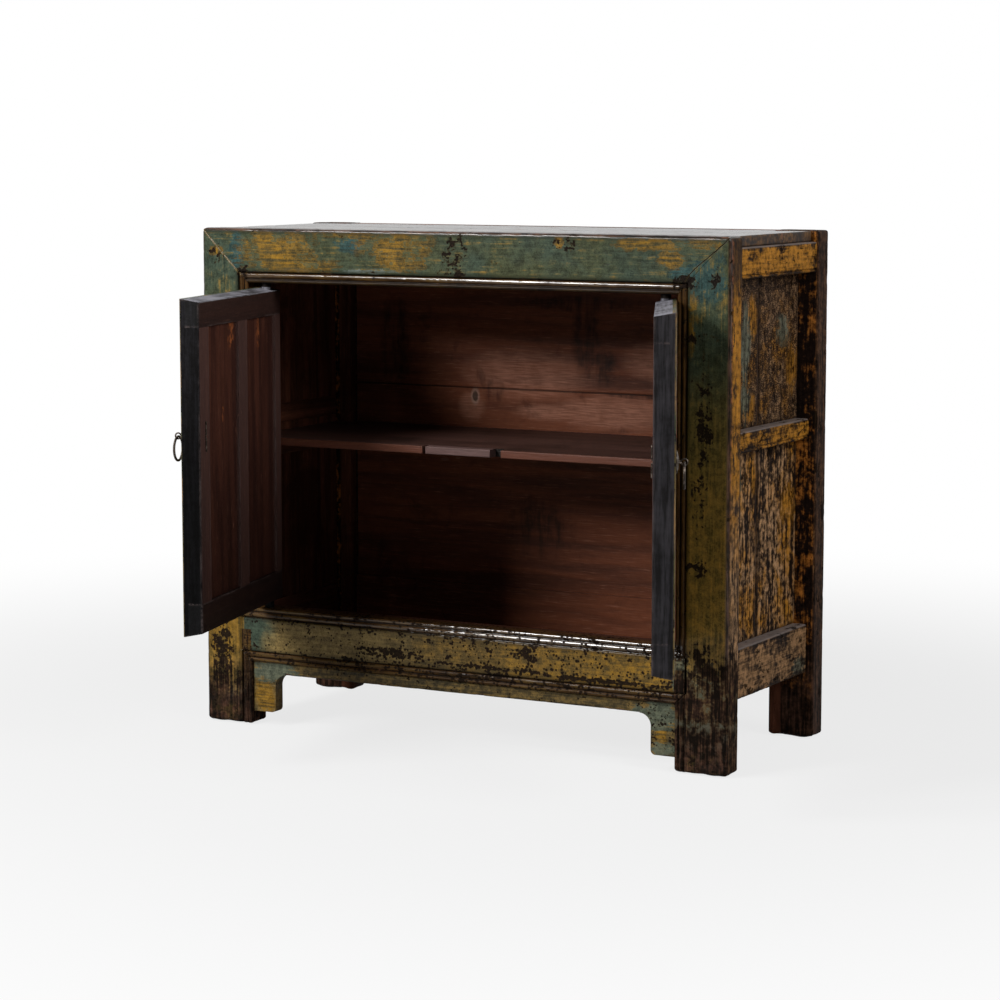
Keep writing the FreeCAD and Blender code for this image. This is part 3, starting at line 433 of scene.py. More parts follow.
    lowered = z + (cloud - 0.5) * 0.18 + (brush - 0.5) * 0.12 + (mottle - 0.5) * 0.06
    foot = (lowered - 0.018 - x.rise(-0.2, 0.2) * 0.085).rise(0.125, 0.030) * on_post
    low = z.rise(0.34, 0.12)
    near_edge = (bead.rise(0.036, 0.019) * (1 - on_apron)).most(edge)
    clusters = spots(f, x, CHIPPED_PLACES, 5.0, wobble, 0.7)
    clusters = clusters * (1 - on_bottom * 0.25)
    density = near_edge * 0.30 + low * 0.22 + foot * 0.55 + clusters + (slow - 0.5) * 1.1 - 0.16
    density = density * wear.chips
    lost = (f.lost_share() + (mottle - 0.5) * 0.9 + (cloud - 0.5) * 0.5).rise(0.34, 0.52)
    chipped = chips(f, f.place, density, 62.0)
    scattered_low = low * 0.45 + on_bottom * (0.30 + x.rise(-0.30, 0.05) * 0.25) - on_apron * 0.45
    small = specks(f, f.place, density * 1.15 + scattered_low + 0.16, 165.0, fine)
    line_place = f.stretched("x", 170.0, 5.0)
    checks = specks(f, line_place, density * 0.5 + 0.05, 1.0, fine)
    bare = chipped.most(small).most(checks)
    rim = chips(f, f.place, density + 0.14, 62.0) - chipped
    paint = f.blend(rim.most(0.0) * 0.45, paint, colours.ochre_dark)
    ground = f.blend(fine.rise(0.45, 0.75), colours.ground, colours.ground_brown)
    paint = f.blend(bare * 0.96, paint, ground)
    lost_wood = f.blend(streaks.rise(0.42, 0.66), colours.ground, colours.edge_brown)
    paint = f.blend(lost * 0.85, paint, lost_wood)
    foot_wood = f.blend((along_z * 0.7 + mottle * 0.5).rise(0.52, 0.82), colours.ground, colours.foot_brown)
    flecks = (mottle * 0.45 + along_z * 0.35 + cloud * 0.35).rise(0.56, 0.68) * z.rise(0.02, 0.12)
    kept = f.blend((cloud * 0.5 + mottle * 0.5).rise(0.49, 0.62), colours.khaki, colours.foot_teal)
    foot_wood = f.blend(flecks * 0.75, foot_wood, kept)
    paint = f.blend((foot * (0.30 + cloud * 1.1 + mottle * 0.3)).least(1.0), paint, foot_wood)

    mitre = abs(mitre_line + (f.noise(90.0, 2.0) - 0.5) * 0.004)
    from_band = aside.rise(POST_INNER + 0.012, POST_INNER + 0.016)
    light_line = mitre.rise(0.0030, 0.0012) * (0.20 + x.rise(0.2, -0.2) * 0.65)
    paint = f.blend(light_line * from_band, paint, colours.khaki_pale)
    dark_line = mitre.rise(0.0014, 0.0006) * (0.55 + x.rise(-0.2, 0.2) * 0.4)
    paint = f.blend(dark_line * from_band, paint, colours.ground)

    on_side = y.rise(FRONT_Y + 0.0035, FRONT_Y + 0.0080) * (1 - on_rail) * on_post
    side = f.blend((along_z * 0.5 + cloud * 0.8 + mottle * 0.5).rise(0.70, 1.00), colours.side_dark,
                   colours.side_ochre)
    lower_side = f.blend((along_z * 0.7 + mottle * 0.5).rise(0.40, 0.85), colours.side_dark, colours.side_tan)
    side = f.blend((z + (cloud - 0.5) * 0.3).rise(0.56, 0.20), side, lower_side)
    side = f.blend((z + (cloud - 0.5) * 0.10).rise(0.73, 0.79) * 0.85, side, colours.side_dark)
    hidden = aside.rise(POST_INNER + 0.004, POST_INNER - 0.001)
    hidden = hidden.most(y.rise(POST_BACK_Y - 0.002, POST_BACK_Y - 0.0005))
    side = f.blend(hidden, side, colours.inside_dark)
    side = f.blend(chips(f, f.stretched("z", 60.0, 2.5), density * 0.6 + 0.22, 1.0), side, colours.ground)
    side = f.blend(y.rise(POST_BACK_Y - 0.006, POST_BACK_Y - 0.002) * mottle.rise(0.35, 0.6), side,
                   colours.ground)
    side = f.shaded(side, tone_of(along_z, mottle, fine))
    beside_front = y.rise(FRONT_Y + 0.014, FRONT_Y + 0.007) * z.rise(0.30, 0.55)
    red_line = f.blend(mottle.rise(0.42, 0.58), colours.ground, colours.arris_red)
    side = f.blend(beside_front * 0.75, side, red_line)
    side_foot = f.blend(foot * 0.85, side, foot_wood)
    paint = f.blend(on_side, paint, side_foot)
    behind = y.rise(FRONT_Y + 0.026, FRONT_Y + 0.029) * (1 - on_post)
    paint = f.blend(behind, paint, colours.inside_dark)

    height = brush * 0.34 + fine * 0.16 + mottle * 0.25 + slow * 2.2 - bare * 0.75 - groove * 0.6
    height = height * (1 - in_band * 0.6) + streaks * in_band * 0.15 - dark_line * from_band * 0.5
    rough = 0.26 + bare * 0.46 + (1 - cloud) * 0.12 + foot * 0.22 + on_side * 0.30 + fine * 0.06
    under_opening = z.rise(RAIL_TOP + 0.002, RAIL_TOP + 0.001)
    under_opening = under_opening * z.rise(RAIL_TOP - BEAD_BAND - 0.004, RAIL_TOP - BEAD_BAND)
    broken = (streaks * 0.6 + cloud * 0.5).rise(0.42, 0.62)
    upper_beads = big_crown * on_rail * (0.12 + broken * 0.78) + (1 - on_rail) * big_crown * 0.06
    lower_beads = under_opening * (0.35 + crown * 0.65) * (0.25 + x.rise(-0.30, 0.02) * 0.75) * lying
    shine = (in_band * upper_beads.most(lower_beads)).most(edge * 0.35 * broken).most((1 - in_band) * 0.05)
    shine = shine * (1 - bare) * (1 - foot * 0.8) * (1 - on_side)
    f.links.new(shine.socket, f.shader.inputs["Coat Weight"])
    return f.finish_with(paint, rough, height, wear.relief, {
        "IOR": 1.45, "Specular IOR Level": 0.09, "Coat Roughness": 0.12, "Coat IOR": 1.9})


def side_finish(node, colours, wear, along, kind):
    """Side rails, side panels and back posts: rubbed ochre over black and brown, dark wood inside."""
    f = Finish(node.replace("right_", "") + "_finish")
    f.across = abs(f.x)
    low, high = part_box(node)
    x, y, z = f.across, f.y, f.z
    cloud = f.noise(19.0, 5.0, 0.62, 0.5)
    slow = f.noise(6.0, 3.0, 0.5)
    mottle = f.noise(100.0, 4.0, 0.64)
    brush = f.grain(along, 210.0, 14.0)
    broad = f.grain(along, 75.0, 9.0, 4.0, 0.6, 0.4)
    fine = f.noise(560.0, 2.0, 0.6)
    wobble = ragged_edge(cloud, brush, mottle)
    edge = edge_distance(f, low, high)
    if kind == "rail":
        over = f.blend(z.rise(0.30, 0.18) * 0.85, colours.side_ochre, colours.side_tan)
        over = f.blend(spots(f, y, SIDE_TEAL_PLACES, 6.0, wobble) * 0.8, over, colours.side_teal)
        cover = brush * 0.35 + cloud * 0.65 + mottle * 0.40 + z.rise(0.70, 0.78) * 0.05
        level = cover.rise(0.58, 0.80) * (1 - z.rise(0.30, 0.18) * 0.3)
        level = level * (edge + (wobble - 0.5) * 0.030).rise(0.0, 0.009)
    elif kind == "panel":
        across = f.noise(3.4, 5.0, 0.68, 0.9, f.stretched("z", 60.0, 0.22))
        tan = f.blend(cloud.rise(0.42, 0.66), colours.side_tan, colours.side_ochre)
        upper = z.rise(0.50, 0.52)
        crackle = (across * 0.75 + mottle * 0.35 + fine * 0.2).rise(0.62, 0.78) * (0.5 + cloud * 0.5)
        drawn = (broad * 0.5 + brush * 0.30 + mottle * 0.40).rise(0.54, 0.68)
        level = upper * crackle + (1 - upper) * drawn
        left_ochre = spots(f, y, PANEL_OCHRE_PLACES, 7.0, wobble)
        left_teal = spots(f, y, SIDE_TEAL_PLACES, 7.0, wobble)
        over = f.blend(left_ochre, tan, colours.side_ochre)
        over = f.blend(left_teal * 0.85, over, colours.side_teal)
        kept = left_ochre.most(left_teal) * (0.35 + brush.rise(0.4, 0.6) * 0.65)
        level = level.most(kept * (0.3 + mottle.rise(0.35, 0.5) * 0.7))
        rim = (y - low[1]).least(high[1] - y).least((z - low[2]).least(high[2] - z))
        level = level * (0.15 + rim.rise(0.0, 0.016) * 0.85)
    else:
        flake = (cloud * 0.6 + mottle * 0.3 + brush * 0.3).rise(0.58, 0.72)
        faces_front = y.rise(low[1] + 0.0012, low[1] + 0.0004)
        over = f.blend(faces_front, colours.side_brown, colours.fleck_orange)
        level = faces_front * flake + (1 - faces_front) * (brush * 0.8 + mottle * 0.4).rise(0.46, 0.86)
    paint = f.blend(level, colours.side_dark, over)
    paint = f.shaded(paint, tone_of(brush, mottle, fine))
    worn = (f.lost_share() + (mottle - 0.5) * 0.8 + (brush - 0.5) * 0.6).rise(0.34, 0.60)
    worn_wood = f.blend(brush.rise(0.40, 0.62), colours.ground_brown, colours.side_worn)
    paint = f.blend(worn * 0.75, paint, worn_wood)
    if kind == "rail":
        lying = z.rise(high[2] - 0.0032, high[2] - 0.0012)
        paint = f.blend(lying * (0.6 + mottle * 0.5).least(1.0), paint, colours.side_dust)
    chipped = chips(f, f.stretched(along, 60.0, 2.0), (0.40 + (slow - 0.5)) * wear.chips, 1.0)
    small = specks(f, f.place, 0.10 * wear.chips, 170.0, fine)
    paint = f.blend(chipped.most(small) * 0.85, paint, colours.ground)
    if kind == "post":
        foot = (z + (cloud - 0.5) * 0.12).rise(0.20, 0.05)
        foot_wood = f.blend((brush * 0.7 + mottle * 0.4).rise(0.45, 0.8), colours.ground, colours.foot_brown)
        paint = f.blend(foot, paint, foot_wood)
        inside = y.rise(BACK_LOW.y - 0.004, BACK_LOW.y - 0.008) * x.rise(low[0] + 0.024, low[0] + 0.020)
    else:
        inside = x.rise(SIDE_INNER + 0.0005, SIDE_INNER - 0.0005)
    paint = f.blend(inside, paint, inner_colour(f, colours, along))
    height = brush * 0.5 + broad * 0.6 + fine * 0.22 + mottle * 0.3 - chipped * 0.7 + slow * 1.5
    rough = 0.46 + chipped * 0.25 + (1 - level) * 0.06 + fine * 0.10 + inside * 0.08
    return f.finish_with(paint, rough, height, wear.relief, {"IOR": 1.45, "Specular IOR Level": 0.03})


def inner_colour(f, colours, along):
    """Bare wood inside: red-brown with growth bands, darker stains and worn lighter fibres."""
    fibre, bands, pores = wood_figure(f, along)
    stain = f.noise(8.5, 5.0, 0.6, 0.5)
    wood = f.blend(bands.rise(0.32, 0.70), colours.inside_dark, colours.inside)
    wood = f.blend(fibre.rise(0.58, 0.78) * 0.5, wood, colours.inside_light)
    wood = f.blend(stain.rise(0.50, 0.66) * 0.75, wood, colours.inside_dark)
    return f.shaded(wood, 0.45 + fibre * 0.65 + pores * 0.45)


def inside_wood(name, colours, wear, along, tones=None, edge=None):
    """Plain boards and battens inside the cabinet. Tones, a dark and a light one, replace the red-brown, and
    edge is the colour of a front edge, with painted shade at the end of the notch in it."""
    f = Finish(name)
    fibre, bands, pores = wood_figure(f, along)
    if tones is None:
        wood = inner_colour(f, colours, along)
    else:
        wood = f.blend(bands.rise(0.3, 0.7), *tones)
        wood = f.blend(f.noise(11.0, 5.0, 0.62).rise(0.50, 0.70) * 0.6, wood, colours.ground)
        if edge is not None:
            front = f.y.rise(SHELF_FRONT + 0.0022, SHELF_FRONT + 0.0008)
            wood = f.blend(front * 0.8, wood, edge)
            # Painted shade: the end of the notch beside the block drawn near-black
            notch = f.x.band(*NOTCH_GAP, 0.0004) * f.y.rise(SHELF_FRONT + 0.022, SHELF_FRONT + 0.020)
            wood = f.blend(notch, wood, colours.ground)
        wood = f.shaded(wood, 0.45 + fibre * 0.7 + pores * 0.4)
    height = fibre * 0.5 + bands * 0.8 + pores * 0.2
    rough = 0.40 + fibre * 0.16
    return f.finish_with(wood, rough, height, wear.relief, {"IOR": 1.45, "Specular IOR Level": 0.2})


def back_boards(colours, wear):
    """Wide back boards: red-brown inside with black water stains, raw and grey-brown behind."""
    f = Finish("back_boards")
    fibre, bands, pores = wood_figure(f, "x")
    cloud = f.noise(16.0, 6.0, 0.64, 0.8)
    drips = f.grain("z", 60.0, 7.0, 4.0, 0.62)
    mottle = f.noise(110.0, 4.0, 0.62)
    wobble = cloud * 0.6 + drips * 0.2 + mottle * 0.2
    wood = f.blend(bands.rise(0.30, 0.72), colours.back_dark, colours.back)
    wood = f.blend(fibre.rise(0.56, 0.80) * 0.5, wood, colours.back_light)
    # Lighter patches: part scuffed wood, part a painted pool of light where light falls on the back boards
    pale = spots(f, f.x, LIT_AND_PALE_PLACES, 3.5, wobble, 0.9)
    pale = pale * (0.35 + (fibre * 0.5 + cloud * 0.5).rise(0.35, 0.65) * 0.65)
    wood = f.blend(pale * 0.9, wood, colours.back_light)
    scuffs = specks(f, f.stretched("x", 60.0, 3.0), 0.12, 1.0, mottle)
    wood = f.blend(scuffs * 0.35 * (0.3 + pale), wood, colours.back_pale)
    dark = spots(f, f.x, STAIN_PLACES, 6.0, wobble, 0.7)
    dark = dark * (0.15 + (drips * 0.6 + cloud * 0.5).rise(0.44, 0.68) * 0.75)
    wood = f.blend(dark.most(cloud.rise(0.56, 0.74) * 0.45), wood, colours.stain)
    ring = spots(f, f.x, KNOT_PLACES, 2.0, wobble, 0.9)
    wood = f.blend(ring * 0.45, wood, colours.back_pale)
    wood = f.blend(ring.rise(0.75, 0.98) * 0.8, wood, colours.stain)
    middle = (BACK_LOW.y + BACK_HIGH.y) / 2
    behind = f.y.rise(middle - 0.001, middle + 0.001)
    raw = f.blend(bands.rise(0.3, 0.7), colours.raw_dark, colours.raw)
    raw = f.blend(cloud.rise(0.50, 0.72) * 0.6, raw, colours.stain)
    wood = f.blend(behind, wood, raw)
    seam = abs(f.z - SEAM_Z + (cloud - 0.5) * 0.002).rise(0.0022, 0.0008)
    wood = f.blend(seam * 0.75, wood, colours.ground)
    wood = f.shaded(wood, 0.42 + fibre * 0.55 + pores * 0.3 + mottle * 0.32)
    height = fibre * 0.5 + bands * 0.9 - seam * 0.8 + mottle * 0.3
    rough = 0.40 + fibre * 0.18 + behind * 0.2
    return f.finish_with(wood, rough, height, wear.relief, {"IOR": 1.45, "Specular IOR Level": 0.12})


def top_lacquer(colours, wear):
    """Top boards: smooth dark lacquer, rubbed along the board's ends."""
    f = Finish("top_lacquer")
    fibre, bands, _ = wood_figure(f, "x")
    cloud = f.noise(14.0, 5.0, 0.6, 0.4)
    mottle = f.noise(100.0, 4.0, 0.64)
    wood = f.blend((bands * 0.6 + cloud * 0.5).rise(0.40, 0.75), colours.top_dark, colours.top_brown)
    ends = abs(f.x).rise(HALF_WIDTH - 0.017, HALF_WIDTH - 0.0145)
    rubbed = f.blend((cloud * 0.5 + mottle * 0.7).rise(0.50, 0.80), colours.side_dark, colours.side_worn)
    wood = f.blend(ends, wood, rubbed)
    worn = chips(f, f.stretched("x", 50.0, 3.0), 0.22 * wear.chips, 1.0)
    wood = f.blend(worn, wood, colours.edge_brown)
    height = bands * 0.35 + fibre * 0.12 + f.noise(6.0, 2.0) * 2.0 - worn * 0.5
    dull = ends.most(abs(f.x).rise(HALF_WIDTH - 0.0155, HALF_WIDTH - 0.0140))
    rough = 0.16 + cloud * 0.14 + worn * 0.2 + fibre * 0.05 + mottle * 0.05 + dull * 0.45
    f.links.new(((1 - dull) * 0.2).socket, f.shader.inputs["Coat Weight"])
    return f.finish_with(wood, rough, height, wear.relief, {
        "IOR": 1.5, "Specular IOR Level": 0.4, "Coat Roughness": 0.12})


def door_finish(node, side, colours, wear, along, low, high):
    """Door wood: lacquer on the outer face, black edges, dark red-brown inside, worn at the arrises."""
    f = Finish(node + "_wood")
    f.turn_to_closed(side + "_door_pivot", closing_angle(side))
    y, z = f.y, f.z
    fibre, bands, pores = wood_figure(f, along)
    brush = f.grain(along, 210.0, 16.0)
    cloud = f.noise(19.0, 5.0, 0.62, 0.4)
    slow = f.noise(6.5, 3.0, 0.5)
    mottle = f.noise(100.0, 4.0, 0.62)
    fine = f.noise(600.0, 2.0, 0.6)
    front_y = FRONT_Y + DOOR_SETBACK
    back_y = front_y + DOOR_THICKNESS
    door_low, door_high = DOOR_Z

    green = f.blend((slow * 0.7 + cloud * 0.5).rise(0.45, 0.75), colours.teal, colours.green)
    ochre = f.blend((brush * 0.6 + cloud * 0.5).rise(0.40, 0.75), colours.ochre_dark, colours.ochre)
    shown = (cloud * 0.9 + brush * 0.3 + (slow - 0.5) * 0.6).rise(0.56, 0.74)
    lacquer = f.blend(shown * (0.4 + brush * 0.7), green, ochre)
    olive = f.blend((brush * 0.6 + cloud * 0.5).rise(0.38, 0.74), colours.olive_dark, colours.olive)
    lacquer = f.blend((z + (cloud - 0.5) * 0.35).rise(0.52, 0.34) * 0.85, lacquer, olive)
    lacquer = f.shaded(lacquer, tone_of(brush, mottle, fine))
    edge = edge_distance(f, low, high)
    density = (edge.rise(0.014, 0.002) * 0.45 + (slow - 0.5) * 1.2 + 0.05) * wear.chips
    chipped = chips(f, f.place, density, 46.0).most(specks(f, f.place, density * 0.6, 150.0, fine))
    lacquer = f.blend(chipped * 0.92, lacquer, colours.ground)

    inner = f.blend(bands.rise(0.32, 0.70), colours.door_inside_dark, colours.door_inside)
    inner = f.blend(fibre.rise(0.60, 0.80) * 0.5, inner, colours.inside_light)
    inner = f.blend(f.noise(12.0, 5.0, 0.62).rise(0.54, 0.72) * 0.6, inner, colours.inside_dark)
    scuffs = specks(f, f.stretched("z", 90.0, 2.5), 0.05, 1.0, mottle)
    inner = f.blend(scuffs * 0.4, inner, colours.back_light)
    if "muntin" in node or "stile" in node:
        inner = f.blend(0.45, inner, colours.frame_grey)
    elif "rail" in node:
        inner = f.blend(0.70, inner, colours.frame_black)
    grain_tone = 0.42 + fibre * 0.6 + pores * 0.3 + mottle * 0.3
    # The inner faces darker towards the bottom
    inner = f.shaded(inner, grain_tone * (0.45 + z.rise(0.20, 0.70) * 0.75))
    if "panel" in node:
        streak = spots(f, f.x, DOOR_STREAK_PLACES, 5.0, ragged_edge(cloud, brush, mottle), 0.7)
        inner = f.blend(streak * (brush * 0.4 + mottle * 0.6).rise(0.46, 0.56), inner, colours.door_streak)
    inner = f.blend(edge.rise(0.0035, 0.0010) * (brush * 0.6 + cloud * 0.6).rise(0.52, 0.72) * 0.5, inner,
                    colours.edge_worn)

    dabs = f.grain("z", 150.0, 13.0)
    black = f.blend((dabs * 0.8 + mottle * 0.4).rise(0.46, 0.84), colours.edge_black, colours.edge_blue)
    if side == "right":
        black = f.blend((dabs * 0.7 + cloud * 0.5).rise(0.50, 0.80) * 0.6, black, colours.edge_grey)
    else:
        # The left door's edges scaled darker, most towards the bottom: painted shade
        black = f.shaded(black, 0.20 + z.rise(0.45, 0.72) * 0.45)
    arris = edge.rise(0.0045, 0.0012)
    black = f.blend(arris * (brush * 0.6 + cloud * 0.6).rise(0.52, 0.72) * 0.4, black, colours.edge_worn)
    free = abs(f.x).rise(DOOR_GAP + 0.0012, DOOR_GAP + 0.0004)
    # Tops and bevels of the doors: light grey that is part dust and part a painted sheen standing in for their
    # reflection
    dust_and_sheen = f.blend((cloud * 0.6 + brush * 0.4).rise(0.36, 0.60), colours.edge_blue, colours.edge_dusty)
    bevel_foot = door_high - DOOR_BEVEL
    bevel = z.rise(bevel_foot - 0.0007, bevel_foot + 0.0003) * (1 - free)
    black = f.blend(bevel.most(z.rise(door_high - 0.0015, door_high - 0.0004)), black, dust_and_sheen)
    black = f.blend(z.rise(door_high + 0.0004, door_high + 0.0010), black, colours.ground)
    on_front = y.rise(front_y + EDGE_DEPTH, front_y + FACE_DEPTH)
    on_back = y.rise(back_y - EDGE_DEPTH, back_y - FACE_DEPTH)
    shut = z.rise(bevel_foot - 0.0009, bevel_foot - 0.0001).most(z.rise(door_low + 0.0076, door_low + 0.0068))
    inner_face = y.rise(back_y - 0.0008, back_y - 0.0002)
    on_edge = free.most(shut * (1 - on_front) * (1 - inner_face))
    paint = f.blend(on_back, lacquer, inner)
    paint = f.blend(on_edge, paint, black)
    worn = arris * (brush * 0.5 + cloud * 0.7).rise(0.56, 0.74) * on_front * (1 - on_edge)
    paint = f.blend(worn * 0.6, paint, colours.worn_wood)
    height = brush * 0.34 + bands * 0.5 + fine * 0.12 + mottle * 0.2 + slow * 1.6 - chipped * on_front * 0.7
    rough = 0.26 + on_back * 0.14 + cloud * 0.10 + on_edge * 0.22 + fine * 0.06
    # The left door's free edge faces the camera and stays duller
    level = 0.05 if node == "left_door_lock_stile" else 0.12
    return f.finish_with(paint, rough, height, wear.relief, {"IOR": 1.45, "Specular IOR Level": level})


def pull_metal(colours, wear):
    """Pull metal: dull dark brass with pits and rubbed lighter spots."""
    f = Finish("pull_brass")
    cloud = f.noise(160.0, 4.0, 0.6)
    pits = f.noise(900.0, 3.0, 0.6)
    metal = f.blend(cloud.rise(0.46, 0.68), colours.metal_dark, colours.metal)
    metal = f.blend(pits.rise(0.60, 0.70) * 0.7, metal, colours.ground)
    height = pits * 0.5 + cloud
    return f.finish_with(metal, 0.34 + cloud * 0.25, height, wear.relief * 0.3, {"Metallic": 0.85})


# Places of patches, in millimetres. On the front: x and z of the middle, half width, half height
OCHRE_PLACES = [
    (-340, 815, 74, 34), (-300, 790, 60, 18), (-108, 828, 62, 24), (-108, 799, 48, 15), (-200, 842, 60, 6),
    (193, 838, 7, 10), (352, 836, 52, 10), (385, 811, 22, 12), (448, 838, 26, 12), (424, 705, 6, 40),
    (428, 742, 10, 16), (-462, 812, 14, 8)]
BLUE_PLACES = [(-423, 815, 16, 34), (456, 778, 34, 40), (416, 790, 30, 10), (-205, 825, 28, 12)]
# Places of the painted light blue highlight above the top rail's beads
BLUE_HIGHLIGHT_PLACES = [(-150, 783, 46, 5), (-300, 781, 30, 3)]
CHIPPED_PLACES = [
    (4, 814, 23, 34), (0, 784, 24, 7), (-215, 840, 22, 8), (205, 832, 28, 10), (447, 560, 14, 85),
    (443, 430, 14, 50), (440, 330, 20, 16), (448, 620, 24, 10), (444, 690, 26, 8), (455, 120, 40, 80),
    (414, 776, 24, 14), (466, 782, 12, 24), (60, 140, 110, 3), (280, 137, 110, 4), (-110, 148, 60, 9),
    (130, 168, 26, 10), (-458, 120, 20, 60), (-464, 806, 18, 16), (-412, 780, 18, 10)]
FOOT_OCHRE_PLACES = [(-456, 165, 36, 58), (-376, 50, 26, 30), (374, 54, 12, 30)]
FOOT_TEAL_PLACES = [
    (-360, 96, 44, 18), (366, 86, 40, 24), (380, 34, 20, 12), (440, 120, 8, 40), (410, 165, 16, 30)]
# On the sides: y and z of the middle, half width, half height
SIDE_TEAL_PLACES = [
    (-60, 640, 20, 80), (-115, 670, 12, 60), (90, 680, 30, 30), (120, 128, 24, 16), (-80, 450, 12, 30)]
PANEL_OCHRE_PLACES = [
    (-30, 715, 20, 30), (-45, 570, 28, 22), (125, 630, 22, 40), (120, 400, 34, 36), (-20, 452, 14, 26),
    (-100, 735, 16, 14)]
# On the inner side of the closed doors: x and z of the middle, half width, half height
DOOR_STREAK_PLACES = [(-160, 688, 14, 24), (-290, 672, 10, 30), (-118, 560, 5, 12)]
# On the back boards: x and z of the middle, half width, half height
STAIN_PLACES = [
    (52, 662, 26, 70), (82, 610, 34, 30), (-40, 320, 60, 50), (-130, 560, 18, 22), (30, 716, 110, 14),
    (-330, 640, 30, 80), (150, 560, 50, 4)]
# Lighter patches on the back boards: part scuffed wood, part a painted pool of light
LIT_AND_PALE_PLACES = [
    (105, 530, 100, 28), (-60, 590, 110, 40), (190, 620, 60, 30), (-175, 530, 24, 24), (-20, 525, 60, 14)]
KNOT_PLACES = [(-168, 548, 8, 14)]


def closing_angle(side):
    """Radians that turn the door from rest to closed about +Z: the joint limit furthest from open."""
    low, high = JOINTS[side + "_door_pivot"]["range_deg"]
    return math.radians(high if side == "left" else low)


def closed_points(node, side):
    """Mesh points of a door node, turned about the pivot to where they are on the closed door."""
    mesh = NODES[node].data
    points = np.empty(len(mesh.vertices) * 3, np.float32)
    mesh.vertices.foreach_get("co", points)
    return turned(points.reshape(-1, 3).astype(float), side, closing_angle(side))


def turned(points, side, angle):
    """Points turned by angle about +Z through the door's pivot."""
    pivot = np.array(JOINTS[side + "_door_pivot"]["pos_m"])
    c, s = math.cos(angle), math.sin(angle)
    away = points - pivot
    spun = np.stack([
        away[..., 0] * c - away[..., 1] * s, away[..., 0] * s + away[..., 1] * c, away[..., 2]], axis=-1)
    return spun + pivot


DOOR_Z = (
    float(closed_points("left_door_bottom_rail", "left")[:, 2].min()),
    float(closed_points("left_door_top_rail", "left")[:, 2].max()))


def surface(name, grid, wrap_u, wrap_v, material):
    """Mesh object from a grid of points: rows along u, columns along v, either wrapped round."""
    rows, columns = grid.shape[:2]
    index = np.arange(rows * columns).reshape(rows, columns)
    u_next = np.roll(index, -1, axis=0) if wrap_u else index[1:]
    here = index if wrap_u else index[:-1]
    if wrap_v:
        corners = [here, np.roll(here, -1, axis=1), np.roll(u_next, -1, axis=1), u_next]
    else:
        corners = [here[:, :-1], here[:, 1:], u_next[:, 1:], u_next[:, :-1]]
    quads = np.stack([c.ravel() for c in corners], axis=1)
    mesh = bpy.data.meshes.new(name)
    faces = [tuple(quad) for quad in quads.tolist()]
    if wrap_v and not wrap_u:
        faces.append(tuple(index[0][::-1].tolist()))
        faces.append(tuple(index[-1].tolist()))
    mesh.from_pydata(grid.reshape(-1, 3).tolist(), [], faces)
    mesh.update()
    mesh.shade_smooth()
    made = bpy.data.objects.new(name, mesh)
    bpy.context.scene.collection.objects.link(made)
    made.data.materials.append(material)
    return made


def turn_round(count):
    """Evenly spaced angles once round, the last one short of the first."""
    return np.linspace(0, 2 * math.pi, count, endpoint=False)


def tube(path, radius, sides):
    """Tube round a path in a plane x = constant: circles square to the path, radius given per point."""
    ahead = np.gradient(path, axis=0)
    ahead = ahead / np.linalg.norm(ahead, axis=1, keepdims=True)
    aside = np.tile(np.array([1.0, 0.0, 0.0]), (len(path), 1))
    up = np.cross(ahead, aside)
    angle = turn_round(sides)
    ring = np.cos(angle)[None, :, None] * aside[:, None] + np.sin(angle)[None, :, None] * up[:, None]
    return path[:, None] + ring * np.broadcast_to(radius, (len(path),))[:, None, None]


def on_door(points, side):
    """Points drawn on the closed left door, brought to the named side at rest."""
    if side == "right":
        points = points * np.array([-1.0, 1.0, 1.0])
    return turned(points, side, -closing_angle(side))


def pull_centre():
    """Middle of the pull on the closed left door's outer face."""
    return np.array([-(DOOR_GAP + PULL_FROM_EDGE), FRONT_Y + DOOR_SETBACK, PULL_Z])


def plate_points():
    """Domed disc: from the shank to the rim its height falls as 1 - share^2, then its edge turns down."""
    shares = np.linspace(0.0, 1.0, 14)
    shank = 0.0025
    radius = shank + (PLATE_RADIUS - shank) * shares
    out = PLATE_RIM + (PLATE_DOME - PLATE_RIM) * (1 - shares ** 2)
    radius = np.concatenate([radius, [PLATE_RADIUS, PLATE_RADIUS - 0.0002, shank]])
    out = np.concatenate([out, [0.0003, 0.0, 0.0]])
    angle = turn_round(64)
    hammered = 0.00012 * np.sin(7 * angle)[None, :] * np.sin(9 * radius / PLATE_RADIUS)[:, None]
    hammered[-3:] = 0
    points = np.stack([
        radius[:, None] * np.cos(angle)[None, :],
        -(out[:, None] - np.abs(hammered)),
        radius[:, None] * np.sin(angle)[None, :]], axis=-1)
    return points + pull_centre()


def eye_path():
    """Split pin's line in the plane x = 0: leg, shank, loop round the eye, shank, other leg."""
    half = WIRE_RADIUS
    inside = DOOR_THICKNESS + WIRE_RADIUS
    join = math.asin(min(1.0, half / EYE_RADIUS))
    loop = np.linspace(join, 2 * math.pi - join, 48)
    loop_out = EYE_OUT - EYE_RADIUS * np.cos(loop)
    loop_up = EYE_RADIUS * np.sin(loop)
    bend = np.linspace(0, math.pi / 2, 8)
    reach = 0.003
    leg_up = np.linspace(PIN_LEG, half + reach, 8)
    leg_out = np.full(8, -inside)
    bend_out = -inside + reach * (1 - np.cos(bend))
    bend_up = half + reach * (1 - np.sin(bend))
    out = np.concatenate([leg_out[:-1], bend_out, loop_out, bend_out[::-1], leg_out[::-1][1:]])
    up = np.concatenate([leg_up[:-1], bend_up, loop_up, -bend_up[::-1], -leg_up[::-1][1:]])
    return np.stack([np.zeros(len(out)), -out, up], axis=-1) + pull_centre()


